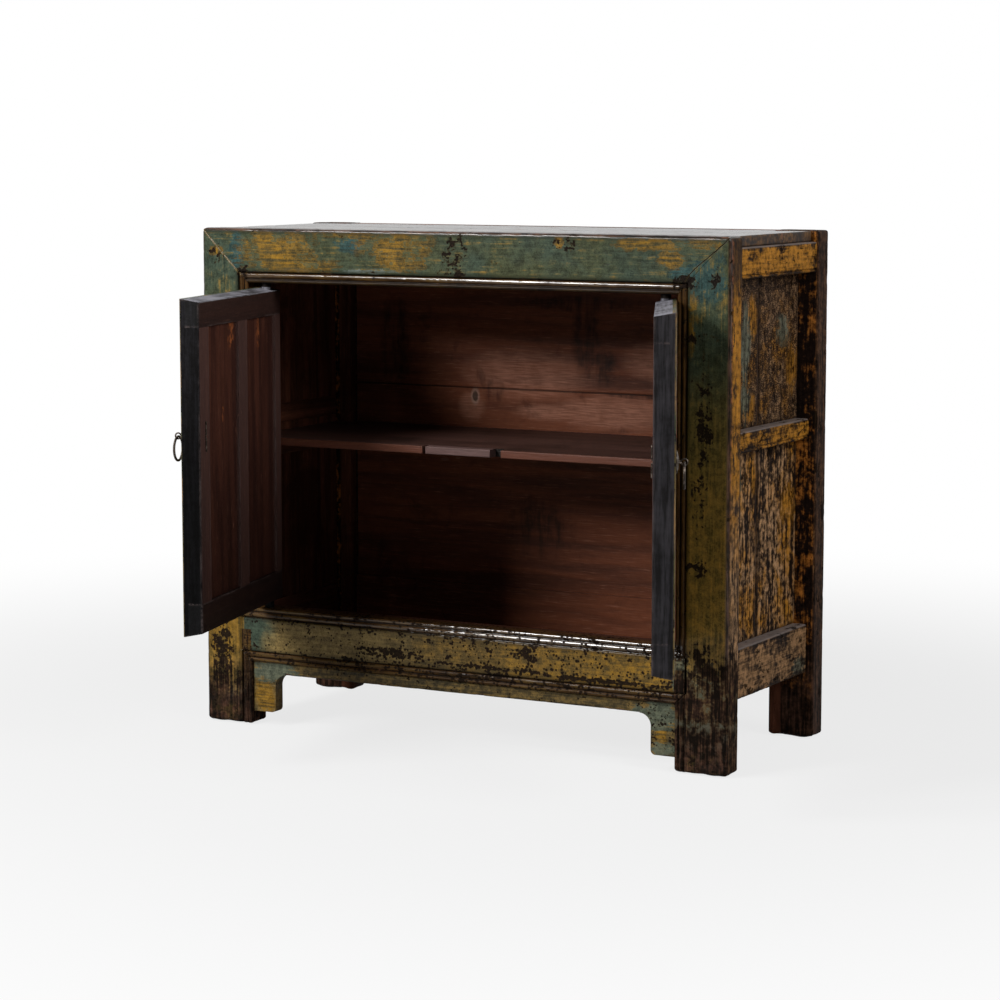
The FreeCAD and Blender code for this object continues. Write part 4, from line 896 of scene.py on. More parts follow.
def bail_points():
    """Ring: wire circles carried round a circle, a little thicker at three places, one where it hangs in the eye.
    """
    turn = turn_round(96)
    clearance = 0.0003
    play = EYE_RADIUS - EYE_WIRE - BAIL_WIRE - clearance
    centre = pull_centre() + np.array([0, -EYE_OUT, -play - BAIL_RADIUS])
    wire = BAIL_WIRE * (0.985 + 0.015 * np.cos(3 * turn))
    angle = turn_round(20)
    out = BAIL_RADIUS + wire[:, None] * np.cos(angle)[None, :]
    points = np.stack([
        out * np.sin(turn)[:, None],
        wire[:, None] * np.sin(angle)[None, :],
        out * np.cos(turn)[:, None]], axis=-1)
    return points + centre


def scattered(cell, seed):
    """A fixed value from 0 to 1 for each lattice corner, from its three whole numbers and a seed."""
    across, deep, up = np.moveaxis(cell, -1, 0)
    mixed = (across * 73856093) ^ (deep * 19349663) ^ (up * 83492791) ^ (seed * 7919 + 13)
    mixed = ((mixed ^ (mixed >> 13)) * 1274126177) & 0x7FFFFFFF
    mixed = ((mixed ^ (mixed >> 15)) * 1103515245) & 0x7FFFFFFF
    return ((mixed ^ (mixed >> 12)) & 0xFFFF) / 65535.0


def eased_noise(points, size, seed):
    """Noise, 0 to 1: lattice values a size apart, eased between neighbours by 3 s^2 - 2 s^3."""
    spot = points / np.asarray(size, float)
    cell = np.floor(spot).astype(np.int64)
    share = spot - cell
    share = share * share * (3 - 2 * share)
    total = np.zeros(spot.shape[:-1])
    for corner in range(8):
        step = np.array([corner & 1, corner >> 1 & 1, corner >> 2])
        weight = np.prod(np.where(step, share, 1 - share), axis=-1)
        total += weight * scattered(cell + step, seed)
    return total


def rough_noise(points, size, octaves, seed):
    """Sum of eased noise, each octave half the size and 0.55 of the height of the one before; 0 to 1."""
    size = np.asarray(size, float)
    heights = 0.55 ** np.arange(octaves)
    layers = [eased_noise(points, size / 2 ** k, seed + k) * heights[k] for k in range(octaves)]
    return np.sum(layers, axis=0) / heights.sum()


def eased(values, low, high):
    """0 below low, 1 above high, 3 s^2 - 2 s^3 between."""
    share = np.clip((values - low) / (high - low), 0.0, 1.0)
    return share * share * (3 - 2 * share)


def outline(corners, step):
    """Closed line through corners (across, up, radius, exposed): a quarter round of the radius at each corner
    and points at most a step apart between them. Also each point's exposure, which falls off from the corner
    as exp(-(distance / 2.6 mm)^2)."""
    spots = np.array([corner[:2] for corner in corners], float)
    before, after = np.roll(spots, 1, axis=0), np.roll(spots, -1, axis=0)
    runs = []
    for (across, up, radius, _), last, following in zip(corners, before, after):
        corner = np.array([across, up])
        if radius == 0:
            runs.append(corner[None])
            continue
        back, ahead = last - corner, following - corner
        back, ahead = back / np.linalg.norm(back), ahead / np.linalg.norm(ahead)
        turn = np.linspace(0, math.pi / 2, 6)[:, None]
        runs.append(corner + radius * (back + ahead) - radius * (ahead * np.cos(turn) + back * np.sin(turn)))
    filled = []
    for run, following in zip(runs, runs[1:] + runs[:1]):
        gap = np.linalg.norm(following[0] - run[-1])
        share = np.linspace(0, 1, max(2, int(math.ceil(gap / step)) + 1))[1:-1, None]
        filled += [run, run[-1] + (following[0] - run[-1]) * share]
    line = np.concatenate(filled)
    away = np.linalg.norm(line[:, None] - spots[None], axis=-1)
    weight = np.array([corner[3] for corner in corners])
    return line, (weight * np.exp(-(away / 0.0026) ** 2)).max(axis=1)


def bead_corners(place, beads, sink):
    """Corners of a row of beads: for each, a groove at the sunk level, then a circle's arc over its width."""
    corners = []
    across = 0.0
    for bead_width, rise in beads:
        corners.append((*place(across, sink), 0, 0.15))
        across += BEAD_GROOVE
        radius = (rise ** 2 + (bead_width / 2) ** 2) / (2 * rise)
        for share in np.linspace(0, bead_width, 9) - bead_width / 2:
            up = math.sqrt(radius ** 2 - share ** 2) - (radius - rise)
            corners.append((*place(across + bead_width / 2 + share, sink - up), 0, 0.10))
        across += bead_width
    return corners


def between(lines, counts):
    """Stations along a bar: every point's place on the first line, then evenly on to each following line."""
    rows = [lines[0][None]]
    for low, high, count in zip(lines[:-1], lines[1:], counts):
        rows.append(low + (high - low) * np.linspace(0, 1, count + 1)[1:, None])
    return np.concatenate(rows)


def carried(section, along, axis):
    """Grid of a closed section carried along an axis: row by row, each point at its own place along."""
    section = np.broadcast_to(section, along.shape + (2,))
    parts = [section[..., 0], section[..., 1]]
    parts.insert("xyz".index(axis), along)
    return np.stack(parts, axis=-1)


def bar(corners, step, stations, counts, axis):
    """Section drawn from its corners and carried straight from station to station; also its exposure."""
    section, arris = outline(corners, step)
    along = between([np.full(len(section), station) for station in stations], counts)
    return carried(section, along, axis), np.broadcast_to(arris, along.shape)


def quarter_round(radius, count):
    """Heights of evenly turned points on a quarter round, from its foot."""
    return radius * (1 - np.cos(np.linspace(0, math.pi / 2, count)))


def rounded_ends(grid, axis, low_radius, high_radius):
    """Section drawn in towards its middle over the last radius of each end, as a quarter round draws it."""
    at = "xyz".index(axis)
    along = grid[..., at]
    drawn = np.zeros_like(along)
    for away, radius in ((along - along.min(), low_radius), (along.max() - along, high_radius)):
        if radius:
            short = np.clip(radius - away, 0, radius)
            drawn = np.maximum(drawn, radius - np.sqrt(radius ** 2 - short ** 2))
    shaped = grid.copy()
    for other in {0, 1, 2} - {at}:
        low, high = grid[..., other].min(), grid[..., other].max()
        middle = (low + high) / 2
        shaped[..., other] = middle + (grid[..., other] - middle) * (1 - drawn / (high - middle))
    return shaped


def outwards(grid):
    """Unit normals of a wrapped grid: cross product of its directions, turned away from each row's middle."""
    ahead = np.gradient(grid, axis=0)
    aside = np.roll(grid, -1, axis=1) - np.roll(grid, 1, axis=1)
    normal = np.cross(ahead, aside)
    normal /= np.maximum(np.linalg.norm(normal, axis=-1, keepdims=True), 1e-12)
    from_middle = grid - grid.mean(axis=1, keepdims=True)
    return normal * np.sign((normal * from_middle).sum())


def rubbed(grid, arris, axis, seed, wear):
    """Grid with its wear, always inwards: a slow wave and small dents over the faces, and at the exposed
    corners a rubbed depth that comes and goes along the bar, with knocks where noise is high. Also the share
    lost."""
    drawn_out = np.ones(3)
    drawn_out["xyz".index(axis)] = 4.0
    wave = rough_noise(grid, drawn_out * 0.030, 2, seed)
    dents = eased(rough_noise(grid, 0.010, 2, seed + 11), 0.60, 0.80)
    rub = rough_noise(grid, drawn_out * 0.014, 3, seed + 23)
    knocks = eased(rough_noise(grid, 0.016, 3, seed + 37), 0.56, 0.74)
    lost = arris * (0.25 + eased(rub, 0.30, 0.72) * 0.75 + knocks * 1.5)
    depth = wave * 0.0005 + dents * 0.0003 + lost * 0.0011
    return grid - outwards(grid) * (depth * wear.arrises)[..., None], np.clip(lost, 0, 1)


def ring_ends(grid, lost, axis, outermost):
    """Close both ends: three rings that shrink to the end row's middle, level with its furthest point."""
    at = "xyz".index(axis)
    shares = np.array([0.15, 0.45, 0.75])[:, None, None]
    ends = []
    for row, pick in ((grid[0], np.min), (grid[-1], np.max)):
        if not outermost:
            pick = np.min if pick is np.max else np.max
        middle = (row.min(axis=0) + row.max(axis=0)) / 2
        middle[at] = pick(row[:, at])
        ends.append(middle + (row - middle) * shares)
    closed = np.concatenate([ends[0], grid, ends[1][::-1]])
    return closed, np.concatenate([np.zeros((3, grid.shape[1])), lost, np.zeros((3, grid.shape[1]))])


def corner_rounded(grid, radius):
    """Points near the cabinet's outer top corners drawn in to a quarter circle seen from the front."""
    over = np.clip(grid[..., 2] - (CABINET_TOP - radius), 0, radius)
    most = HALF_WIDTH - radius + np.sqrt(np.maximum(radius ** 2 - over ** 2, 0))
    shaped = grid.copy()
    shaped[..., 0] = np.clip(grid[..., 0], -most, most)
    return shaped


def worn_piece(name, node, material, grid, arris, axis, seed, wear, outermost=True, corner=0.0):
    """Worn bar or board made from a carried section, put in the place of its CAD node."""
    grid, lost = rubbed(grid, arris, axis, seed, wear)
    if corner:
        grid = corner_rounded(grid, corner)
    grid, lost = ring_ends(grid, lost, axis, outermost)
    piece = surface(name, grid, False, True, material)
    worn = piece.data.attributes.new("worn", "FLOAT", "POINT")
    worn.data.foreach_set("value", lost.ravel())
    face_outwards(piece)
    settle(piece, node, "carcass")


def uneven_foot(grid, height, seed):
    """Post worn uneven at its foot: lifted by noise times height times exp(-(z / 10 mm)^2)."""
    fade = np.exp(-(grid[..., 2] / 0.010) ** 2)
    grid[..., 2] += rough_noise(grid, 0.018, 2, seed) * height * fade
    return grid


def post_grid():
    """Right front post. Its section runs up in rows that lean where it meets the rails: to the bottom rail's
    arrow tip they follow a 45 degree mitre over the beads, which sink behind the tip, and at the top they end
    on the face mitre, z = opening top + distance from the opening."""
    def place(across, sunk):
        return POST_INNER + BEAD_BAND - across, FRONT_Y + sunk

    outer_radius = 0.007
    corners = [(HALF_WIDTH, FRONT_Y, outer_radius, 1.0), (*place(0, 0), 0, 0.3)]
    corners += bead_corners(place, FRONT_BEADS, BEAD_SINK)
    corners += [(POST_INNER, POST_BACK_Y, 0, 0), (HALF_WIDTH, POST_BACK_Y, 0.0025, 0.7)]
    section, arris = outline(corners, SECTION_STEP)
    aside = section[:, 0] - POST_INNER
    strip = np.clip(aside, 0, BEAD_BAND)
    tip = 0.0003
    in_front = section[:, 1] < FRONT_Y + MITRE_DEPTH
    top = np.where(in_front, OPENING_TOP + aside, CABINET_TOP)
    lines = [np.full(len(section), z) for z in quarter_round(FOOT_RADIUS, 7)]
    for mitre in (RAIL_BASE + strip, RAIL_TOP - strip):
        lines += [mitre - tip, mitre + tip]
    lines += [top - 0.0012, top - 0.0004]
    along = between(lines, [1] * 6 + [28, 1, 16, 1, 260, 1])
    section = np.broadcast_to(section, along.shape + (2,)).copy()
    behind_tip = (along > RAIL_BASE + strip) & (along < RAIL_TOP - strip)
    on_strip = (section[..., 0] < POST_INNER + BEAD_BAND + 0.00005) & in_front[None]
    sunk_y = FRONT_Y + 0.009
    section[..., 1] = np.where(behind_tip & on_strip, sunk_y, section[..., 1])
    section[-1, :, 0] = np.clip(section[-1, :, 0], POST_INNER, HALF_WIDTH - 0.0006)
    grid = rounded_ends(carried(section, along, "z"), "z", FOOT_RADIUS, 0)
    grid = uneven_foot(grid, 0.003, 5)
    return grid, arris * np.clip(grid[..., 2] / 0.01, 0.3, 1.0)


def back_post_grid():
    """Right back post: a plain section with rounded outer corners, drawn in at the foot and the top."""
    low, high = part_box("back_right_leg")
    corners = [(low.x, low.y, 0.002, 0.2), (high.x, low.y, 0.004, 0.7), (high.x, high.y, 0.005, 1.0),
               (low.x, high.y, 0.003, 0.5)]
    top_radius = 0.003
    stations = (*quarter_round(FOOT_RADIUS, 7), *(high.z - quarter_round(top_radius, 5)[::-1]))
    grid, arris = bar(corners, 0.004, stations, [1] * 6 + [200] + [1] * 4, "z")
    return uneven_foot(rounded_ends(grid, "z", FOOT_RADIUS, top_radius), 0.005, 9), arris


def top_rail_grid():
    """Top rail: rounded top edge and two beads under the face, carried from side to side between ends that
    lean with the face mitre and stop square behind it."""
    def place(across, sunk):
        return FRONT_Y + sunk, OPENING_TOP + BEAD_BAND - across

    corners = [(FRONT_Y, CABINET_TOP, 0.005, 1.0), (*place(0, 0), 0, 0.3)]
    corners += bead_corners(place, FRONT_BEADS, BEAD_SINK)
    corners += [(POST_BACK_Y, OPENING_TOP, 0, 0), (POST_BACK_Y, CABINET_TOP, 0, 0.2)]
    section, arris = outline(corners, SECTION_STEP)
    in_front = section[:, 0] < FRONT_Y + MITRE_DEPTH
    end = np.where(in_front, POST_INNER + section[:, 1] - OPENING_TOP, POST_INNER + 0.0015)
    along = between([-end + 0.0002, -end + 0.0010, end - 0.0010, end - 0.0002], [1, 280, 1])
    section = np.broadcast_to(section, along.shape + (2,)).copy()
    for row in (0, -1):
        section[row, :, 0] = np.maximum(section[row, :, 0], FRONT_Y + 0.0006)
    return carried(section, along, "x"), np.broadcast_to(arris, along.shape)


def bottom_rail_grid():
    """Bottom rail: face between two pairs of beads, its front ends mitred over the posts' beads as tips."""
    middle = (RAIL_BASE + RAIL_TOP) / 2
    half_face = (RAIL_TOP - RAIL_BASE) / 2 - BEAD_BAND

    def above(across, sunk):
        return FRONT_Y + sunk, middle + half_face + across

    def below(across, sunk):
        return FRONT_Y + sunk, middle - half_face - across

    corners = [(*above(0, 0), 0, 0.3)] + bead_corners(above, FRONT_BEADS, BEAD_SINK)
    corners += [(POST_BACK_Y, RAIL_TOP, 0, 0.2), (POST_BACK_Y, RAIL_BASE, 0, 0.2)]
    corners += bead_corners(below, FRONT_BEADS, BEAD_SINK)[::-1] + [(*below(0, 0), 0, 0.3)]
    section, arris = outline(corners, SECTION_STEP)
    in_front = section[:, 0] < FRONT_Y + MITRE_DEPTH
    reach = np.clip(np.minimum(section[:, 1] - RAIL_BASE, RAIL_TOP - section[:, 1]), 0, BEAD_BAND)
    end = np.where(in_front, POST_INNER + reach, POST_INNER + 0.0015)
    along = between([-end + 0.0002, end - 0.0002], [260])
    return carried(section, along, "x"), np.broadcast_to(arris, along.shape)


def side_rail_grid(node, beaded):
    """Right side rail: rounded upper outer edge and, if beaded, a small bead along the lower outer edge."""
    low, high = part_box(node)

    def place(across, sunk):
        return high.x - sunk, low.z + SIDE_BEAD_BAND - across

    corners = [(low.x, high.z, 0, 0.2), (high.x, high.z, 0.003, 1.0)]
    if beaded:
        corners += [(*place(0, 0), 0, 0.3)] + bead_corners(place, [(0.005, 0.0018)], 0.002)
    else:
        corners += [(high.x, low.z, 0.003, 0.8)]
    corners += [(low.x, low.z, 0, 0.2)]
    reach = LEG_HIGH.y - 0.0035
    return bar(corners, SECTION_STEP, (reach, -reach), [90], "y")


def side_panel_grid(low, high, seam_low):
    """Right side panel board: chamfered all round at the outer face, drawn in where it enters the rails."""
    seam = 0.0012
    y_low = low.y - 0.0004 if seam_low else low.y + 0.0045
    y_high = high.y - 0.0045 if seam_low else high.y + 0.0004
    corners = [(low.x, y_low, seam, 0.3), (high.x, y_low, seam, 0.5), (high.x, y_high, seam, 0.5),
               (low.x, y_high, seam, 0.3)]
    z_low, z_high = low.z + 0.007, high.z - 0.007
    stations = (z_low - 0.0025, z_low, z_low + 0.0014, z_high - 0.0014, z_high, z_high + 0.0025)
    grid, arris = bar(corners, 0.0036, stations, [1, 1, 72, 1, 1], "z")
    middle = (low.x + high.x) / 2
    ends = [0, 1, -2, -1]
    grid[ends, :, 0] = middle + (grid[ends, :, 0] - middle) * 0.80
    return grid, arris


def top_board_grid(node, y_low, y_high):
    """Top board: rounded upper edges, carried from side to side and drawn in at its ends."""
    low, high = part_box(node)
    corners = [(y_low, low.z, 0, 0), (y_high, low.z, 0, 0), (y_high, high.z, 0.001, 0.3),
               (y_low, high.z, 0.001, 0.3)]
    radius = 0.0025
    end = quarter_round(radius, 5)
    stations = (*(low.x + end), *(high.x - end[::-1]))
    grid, arris = bar(corners, 0.005, stations, [1] * 4 + [230] + [1] * 4, "x")
    return rounded_ends(grid, "x", radius, radius), arris


def apron_grid():
    """Apron strip between the spandrels: a bar with a worn lower front edge."""
    low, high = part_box("front_apron")
    corners = [(low.y, low.z, 0.002, 0.8), (low.y, RAIL_BASE, 0, 0), (high.y, RAIL_BASE, 0, 0),
               (high.y, low.z, 0, 0.5)]
    return bar(corners, 0.003, (low.x - 0.001, high.x + 0.001), [180], "x")


def mirrored(grid):
    """The same grid on the other side of the cabinet's middle plane."""
    return grid * np.array([-1.0, 1.0, 1.0])


def face_outwards(piece):
    """Recalculate a closed shell's normals so that its faces point out."""
    shell = bmesh.new()
    shell.from_mesh(piece.data)
    bmesh.ops.recalc_face_normals(shell, faces=shell.faces)
    shell.to_mesh(piece.data)
    shell.free()
    piece.data.shade_smooth()


def settle(piece, node, body):
    """Put a new piece in the place of a CAD node, on the same body."""
    slot = next(s["material_slot"] for s in frame["record"]["subparts"] if s["node"] == node)
    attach(piece, body)
    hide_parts(node)


def dress(names, material):
    """Give CAD nodes a finish in place of their plain one."""
    for name in names:
        data = NODES[name].data
        data.materials.clear()
        data.materials.append(material)


def area_lamp(name, place, size, power):
    """Square soft lamp at a place, turned to face the middle of the cabinet."""
    data = bpy.data.lights.new(name, "AREA")
    data.size = size
    data.energy = power
    lamp = bpy.data.objects.new(name, data)
    bpy.context.scene.collection.objects.link(lamp)
    direction = np.array(LAMP_AIM) - np.array(place)
    lamp.location = place
    flat = math.hypot(direction[0], direction[1])
    lamp.rotation_euler = (math.atan2(flat, -direction[2]), 0.0, math.atan2(-direction[0], direction[1]))


def floor_material():
    """Pale floor that keeps the object's shadow and fades to the white surroundings."""
    f = Finish("floor")
    f.shader.inputs["Base Color"].default_value = (0.45, 0.45, 0.45, 1.0)
    f.shader.inputs["Roughness"].default_value = 0.9
    f.shader.inputs["Specular IOR Level"].default_value = 0.0
    light = f.node("ShaderNodeEmission", {}, {"Color": WHITE, "Strength": 1.0})
    seen = f.seen_white(f.y.rise(-0.2, 0.6) * f.x.rise(1.2, 0.5))
    far = ((f.x * f.x + f.y * f.y) ** 0.5).rise(0.7, 2.4)
    share = seen * (0.78 + far * 0.22)
    mixed = f.node("ShaderNodeMixShader", {}, {0: share, 1: Wire(f, f.shader.outputs[0]), 2: light})
    f.links.new(mixed.socket, f.output.inputs[0])
    return f.material


def set_world(level):
    """White surroundings behind the object, seen by the camera and in reflections; dim light elsewhere."""
    world = bpy.data.worlds.new("surroundings")
    tree = ShaderTree(world, "ShaderNodeOutputWorld", "Generated")
    white = tree.seen_white(tree.y.rise(-0.25, 0.25))
    strength = tree.node("ShaderNodeMix", {}, {0: white, 2: level, 3: 1.0})
    background = tree.node("ShaderNodeBackground", {}, {0: WHITE, 1: strength})
    tree.links.new(background.socket, tree.output.inputs[0])
    bpy.context.scene.world = world


# Colours of lacquer, wood and metal, linear: key, what it is for, red, green, blue
COLOURS = [
    ("teal", "Main lacquer of the front frame", 0.038, 0.053, 0.036),
    ("green", "Greener parts of the teal lacquer", 0.052, 0.058, 0.028),
    ("blue", "Blue lacquer at the corners", 0.026, 0.058, 0.056),
    ("ochre", "Yellow lacquer under the teal", 0.215, 0.112, 0.012),
    ("ochre_dark", "Rubbed yellow lacquer", 0.095, 0.060, 0.015),
    ("olive", "Olive lacquer of the posts", 0.135, 0.094, 0.023),
    ("olive_dark", "Darker lacquer of the posts", 0.078, 0.066, 0.024),
    ("olive_ochre", "Yellower lower parts of the posts", 0.210, 0.105, 0.017),
    ("khaki", "Lacquer of the bottom rail", 0.118, 0.078, 0.025),
    ("khaki_dark", "Darker lacquer of the bottom rail", 0.062, 0.047, 0.022),
    ("ground", "Black-brown ground that shows in the chips", 0.0060, 0.0036, 0.0022),
    ("ground_brown", "Lighter parts of the ground", 0.026, 0.013, 0.008),
    # Lighter khaki: the mitre lines, and the left of the bottom rail, where it is partly painted light
    ("khaki_pale", "Lacquer at the left of the bottom rail", 0.185, 0.128, 0.045),
    # Painted highlight along the top rail above the beads
    ("pale_blue", "Pale smears on the top rail", 0.170, 0.200, 0.185),
    ("fleck_orange", "Orange flakes on the back posts' front", 0.345, 0.125, 0.022),
    ("edge_grey", "Lighter lacquer of the right door's edge", 0.042, 0.038, 0.042),
    ("side_worn", "Rubbed wood of the sides' edges", 0.170, 0.085, 0.032),
    ("side_dust", "Dusty upper faces of the side rails", 0.200, 0.165, 0.150),
    ("door_streak", "Orange streaks inside the doors", 0.300, 0.090, 0.030),
    ("arris_red", "Red-brown line beside the front posts' outer arris", 0.190, 0.062, 0.030),
    ("apron", "Yellow-brown of the apron", 0.135, 0.086, 0.026),
    ("foot_teal", "Teal left beside the legs", 0.085, 0.100, 0.070),
    ("bead", "Brown of the beads", 0.082, 0.038, 0.011),
    ("edge_brown", "Red-brown of rubbed edges", 0.170, 0.080, 0.046),
    ("worn_wood", "Wood that shows at rubbed edges", 0.260, 0.160, 0.095),
    ("foot_brown", "Brown of the worn feet", 0.088, 0.042, 0.026),
    ("side_ochre", "Yellow lacquer of the sides", 0.320, 0.138, 0.018),
    ("side_tan", "Rubbed wood of the sides", 0.345, 0.200, 0.102),
    ("side_brown", "Brown of the back posts", 0.090, 0.042, 0.020),
    ("side_teal", "Teal left on the sides", 0.080, 0.110, 0.085),
    ("side_dark", "Black-brown of the sides", 0.013, 0.0075, 0.0055),
    ("inside", "Wood inside the carcass", 0.130, 0.046, 0.025),
    ("inside_light", "Rubbed fibres inside", 0.230, 0.105, 0.062),
    ("inside_dark", "Dark wood inside", 0.042, 0.016, 0.009),
    ("back", "Red-brown of the back boards", 0.180, 0.056, 0.026),
    ("back_light", "Lighter fibres of the back boards", 0.345, 0.152, 0.096),
    ("back_pale", "Pale scuffs on the back boards", 0.520, 0.360, 0.280),
    ("back_dark", "Darker bands of the back boards", 0.080, 0.028, 0.016),
    ("stain", "Black water stains", 0.014, 0.008, 0.006),
    ("raw", "Wood of the cabinet's back", 0.150, 0.100, 0.065),
    ("raw_dark", "Darker wood of the cabinet's back", 0.075, 0.050, 0.034),
    ("top_brown", "Lighter parts of the top", 0.030, 0.018, 0.012),
    ("top_dark", "Dark lacquer of the top", 0.012, 0.009, 0.008),
    ("shelf", "Grey-brown of the shelf", 0.075, 0.036, 0.028),
    ("shelf_dark", "Darker bands of the shelf", 0.038, 0.017, 0.013),
    ("shelf_edge", "Rubbed front edge of the shelf", 0.115, 0.038, 0.021),
    ("block", "Pale block in the shelf's edge", 0.115, 0.066, 0.060),
    ("block_dark", "Darker grain of the block", 0.080, 0.045, 0.039),
    ("door_inside", "Wood inside the doors", 0.070, 0.025, 0.016),
    ("door_inside_dark", "Dark wood inside the doors", 0.032, 0.012, 0.009),
    ("frame_grey", "Greyed wood of the door's stiles", 0.105, 0.062, 0.054),
    ("frame_black", "Darkened wood of the door's rails", 0.018, 0.013, 0.012),
    ("edge_black", "Black lacquer of the doors' edges", 0.007, 0.0062, 0.0062),
    ("edge_blue", "Blue-grey lacquer of the doors' edges", 0.022, 0.021, 0.024),
    # Light grey of the doors' tops: part dust, part painted sheen
    ("edge_dusty", "Dusty tops of the doors", 0.205, 0.200, 0.226),
    ("edge_worn", "Rubbed arris of the doors' edges", 0.100, 0.075, 0.070),
    ("metal", "Dull brass of the pulls", 0.230, 0.185, 0.150),
    ("metal_dark", "Darker brass of the pulls", 0.045, 0.034, 0.026)]


class CabinetColours(bpy.types.PropertyGroup):
    """Colours of the cabinet's lacquers and woods."""
    __annotations__ = {
        key: FloatVectorProperty(
            name=key.replace("_", " ").capitalize(), description=description, subtype="COLOR", size=3,
            min=0.0, max=1.0, default=value)
        for key, description, *value in COLOURS}


class CabinetWear(bpy.types.PropertyGroup):
    """How worn the cabinet looks."""

    chips: FloatProperty(
        name="Chips", description="How much lacquer has chipped off", default=1.0, min=0.0, max=2.0)
    arrises: FloatProperty(
        name="Arrises", description="How far the faces and edges are worn in, 1 as in the photograph",
        default=1.0, min=0.0, max=2.0)
    relief: FloatProperty(
        name="Relief", description="Depth of the grain and the chips", default=0.0011, min=0.0, max=0.005,
        subtype="DISTANCE", unit="LENGTH")


class CabinetStage(bpy.types.PropertyGroup):
    """Floor, lamps and camera."""

    floor_size: FloatProperty(
        name="Floor size", description="Width of the floor", default=14.0, min=2.0, unit="LENGTH")
    camera_place: FloatVectorProperty(
        name="Camera place", description="Where the photograph was taken from", size=3,
        default=(2.3488, -4.3158, 0.9986), subtype="XYZ", unit="LENGTH")
    camera_yaw: FloatProperty(
        name="Camera yaw", description="Turn of the camera towards the left", default=0.5022,
        subtype="ANGLE", unit="ROTATION")
    camera_pitch: FloatProperty(
        name="Camera pitch", description="Tilt of the camera below level", default=0.1229,
        subtype="ANGLE", unit="ROTATION")
    camera_lens: FloatProperty(
        name="Lens", description="Focal length on a 36 mm sensor", default=105.17, min=10.0)
    key_power: FloatProperty(
        name="Key power", description="Watts of the high lamp at the front left", default=45.0, min=0.0)
    side_power: FloatProperty(
        name="Side power", description="Watts of the lamp at the right", default=52.0, min=0.0)
    low_power: FloatProperty(
        name="Low power", description="Watts of the low lamp at the front left", default=85.0, min=0.0)
    room_light: FloatProperty(
        name="Room light", description="Level of the light from all round", default=0.12, min=0.0)


def settings_of(context):
    """The cabinet's colours and its wear."""
    return context.scene.cabinet_colours, context.scene.cabinet_wear


class CABINET_OT_front_frame(bpy.types.Operator):
    """Lacquer the two front legs, the front rails, the apron and the spandrels"""
    bl_idname = "cabinet.front_frame"
    bl_label = "Front frame"

    def execute(self, context):
        colours, wear = settings_of(context)
        lacquer = front_lacquer(colours, wear)
        dress(["front_apron_left_spandrel", "front_apron_right_spandrel"], lacquer)
        grid, arris = post_grid()
        # Name, node, shape and exposure, axis, seed, whether its ends close outwards, corner radius
        pieces = (
            ("right_front_post", "front_right_leg", (grid, arris), "z", 3, True, 0.011),
            ("left_front_post", "front_left_leg", (mirrored(grid), arris), "z", 71, True, 0.013),
            ("mitred_top_rail", "front_top_rail", top_rail_grid(), "x", 131, False, 0.012),
            ("beaded_bottom_rail", "front_bottom_rail", bottom_rail_grid(), "x", 171, False, 0.0),
            ("apron_strip", "front_apron", apron_grid(), "x", 211, True, 0.0))
        for name, node, shape, axis, seed, outermost, corner in pieces:
            worn_piece(name, node, lacquer, *shape, axis, seed, wear, outermost, corner)
        return {"FINISHED"}


class CABINET_OT_sides(bpy.types.Operator):
    """Finish the side rails, the side panels and the back legs"""
    bl_idname = "cabinet.sides"
    bl_label = "Sides"

    def execute(self, context):
        colours, wear = settings_of(context)
        pieces = []
        for level in ("upper", "middle", "lower"):
            name = "_side_" + level + "_rail"
            pieces.append(("{}" + name, "y", "rail", "{}_worn_" + level + "_rail",
                           side_rail_grid("right" + name, level != "lower")))
        for level in ("upper", "lower"):
            for part in ("front", "back"):
                name = "_{}_panel_{}_board".format(level, part)
                pieces.append(("{}" + name, "z", "panel", "{}_worn" + name,
                               side_panel_grid(*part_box("right" + name), part == "back")))
        pieces.append(("back_{}_leg", "z", "post", "{}_back_post", back_post_grid()))
        for number, (node, along, kind, name, (grid, arris)) in enumerate(pieces):
            finish = side_finish(node.format("right"), colours, wear, along, kind)
            corner = 0.007 if kind == "post" else 0.0
            for side, shape in (("right", grid), ("left", mirrored(grid))):
                seed = SIDE_SEED + number * 40 + (20 if side == "left" else 0)
                worn_piece(name.format(side), node.format(side), finish, shape, arris, along, seed, wear,
                           corner=corner)
        return {"FINISHED"}


class CABINET_OT_back(bpy.types.Operator):
    """Finish the back boards and the back rails"""
    bl_idname = "cabinet.back"
    bl_label = "Back"

    def execute(self, context):
        boards = ["back_lower_board", "back_upper_board", "back_top_rail", "back_bottom_rail"]
        dress(boards, back_boards(*settings_of(context)))
        return {"FINISHED"}


class CABINET_OT_top(bpy.types.Operator):
    """Lacquer the top boards"""
    bl_idname = "cabinet.top"
    bl_label = "Top"

    def execute(self, context):
        colours, wear = settings_of(context)
        lacquer = top_lacquer(colours, wear)
        low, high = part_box("top_back_board")
        for name, y_low, y_high, seed in (("front", POST_BACK_Y - 0.002, low.y + 0.0003, 801),
                                          ("back", low.y - 0.0003, high.y, 841)):
            node = "top_" + name + "_board"
            worn_piece("worn_" + node, node, lacquer, *top_board_grid(node, y_low, y_high), "x", seed, wear)
        return {"FINISHED"}


class CABINET_OT_inside(bpy.types.Operator):
    """Finish the floor boards, the shelf, its bearers and its edge block"""
    bl_idname = "cabinet.inside"
    bl_label = "Inside"

    def execute(self, context):
        colours, wear = settings_of(context)
        dress(["bottom_front_board", "bottom_back_board"], inside_wood("floor_wood", colours, wear, "x"))
        dress(["shelf_left_bearer", "shelf_right_bearer"], inside_wood("bearer_wood", colours, wear, "y"))
        shelf_tones = (colours.shelf_dark, colours.shelf)
        shelf = inside_wood("shelf_wood", colours, wear, "x", shelf_tones, colours.shelf_edge)
        dress(["shelf_front_board", "shelf_back_board"], shelf)
        block_tones = (colours.block_dark, colours.block)
        dress(["shelf_edge_block"], inside_wood("block_wood", colours, wear, "x", block_tones))
        return {"FINISHED"}


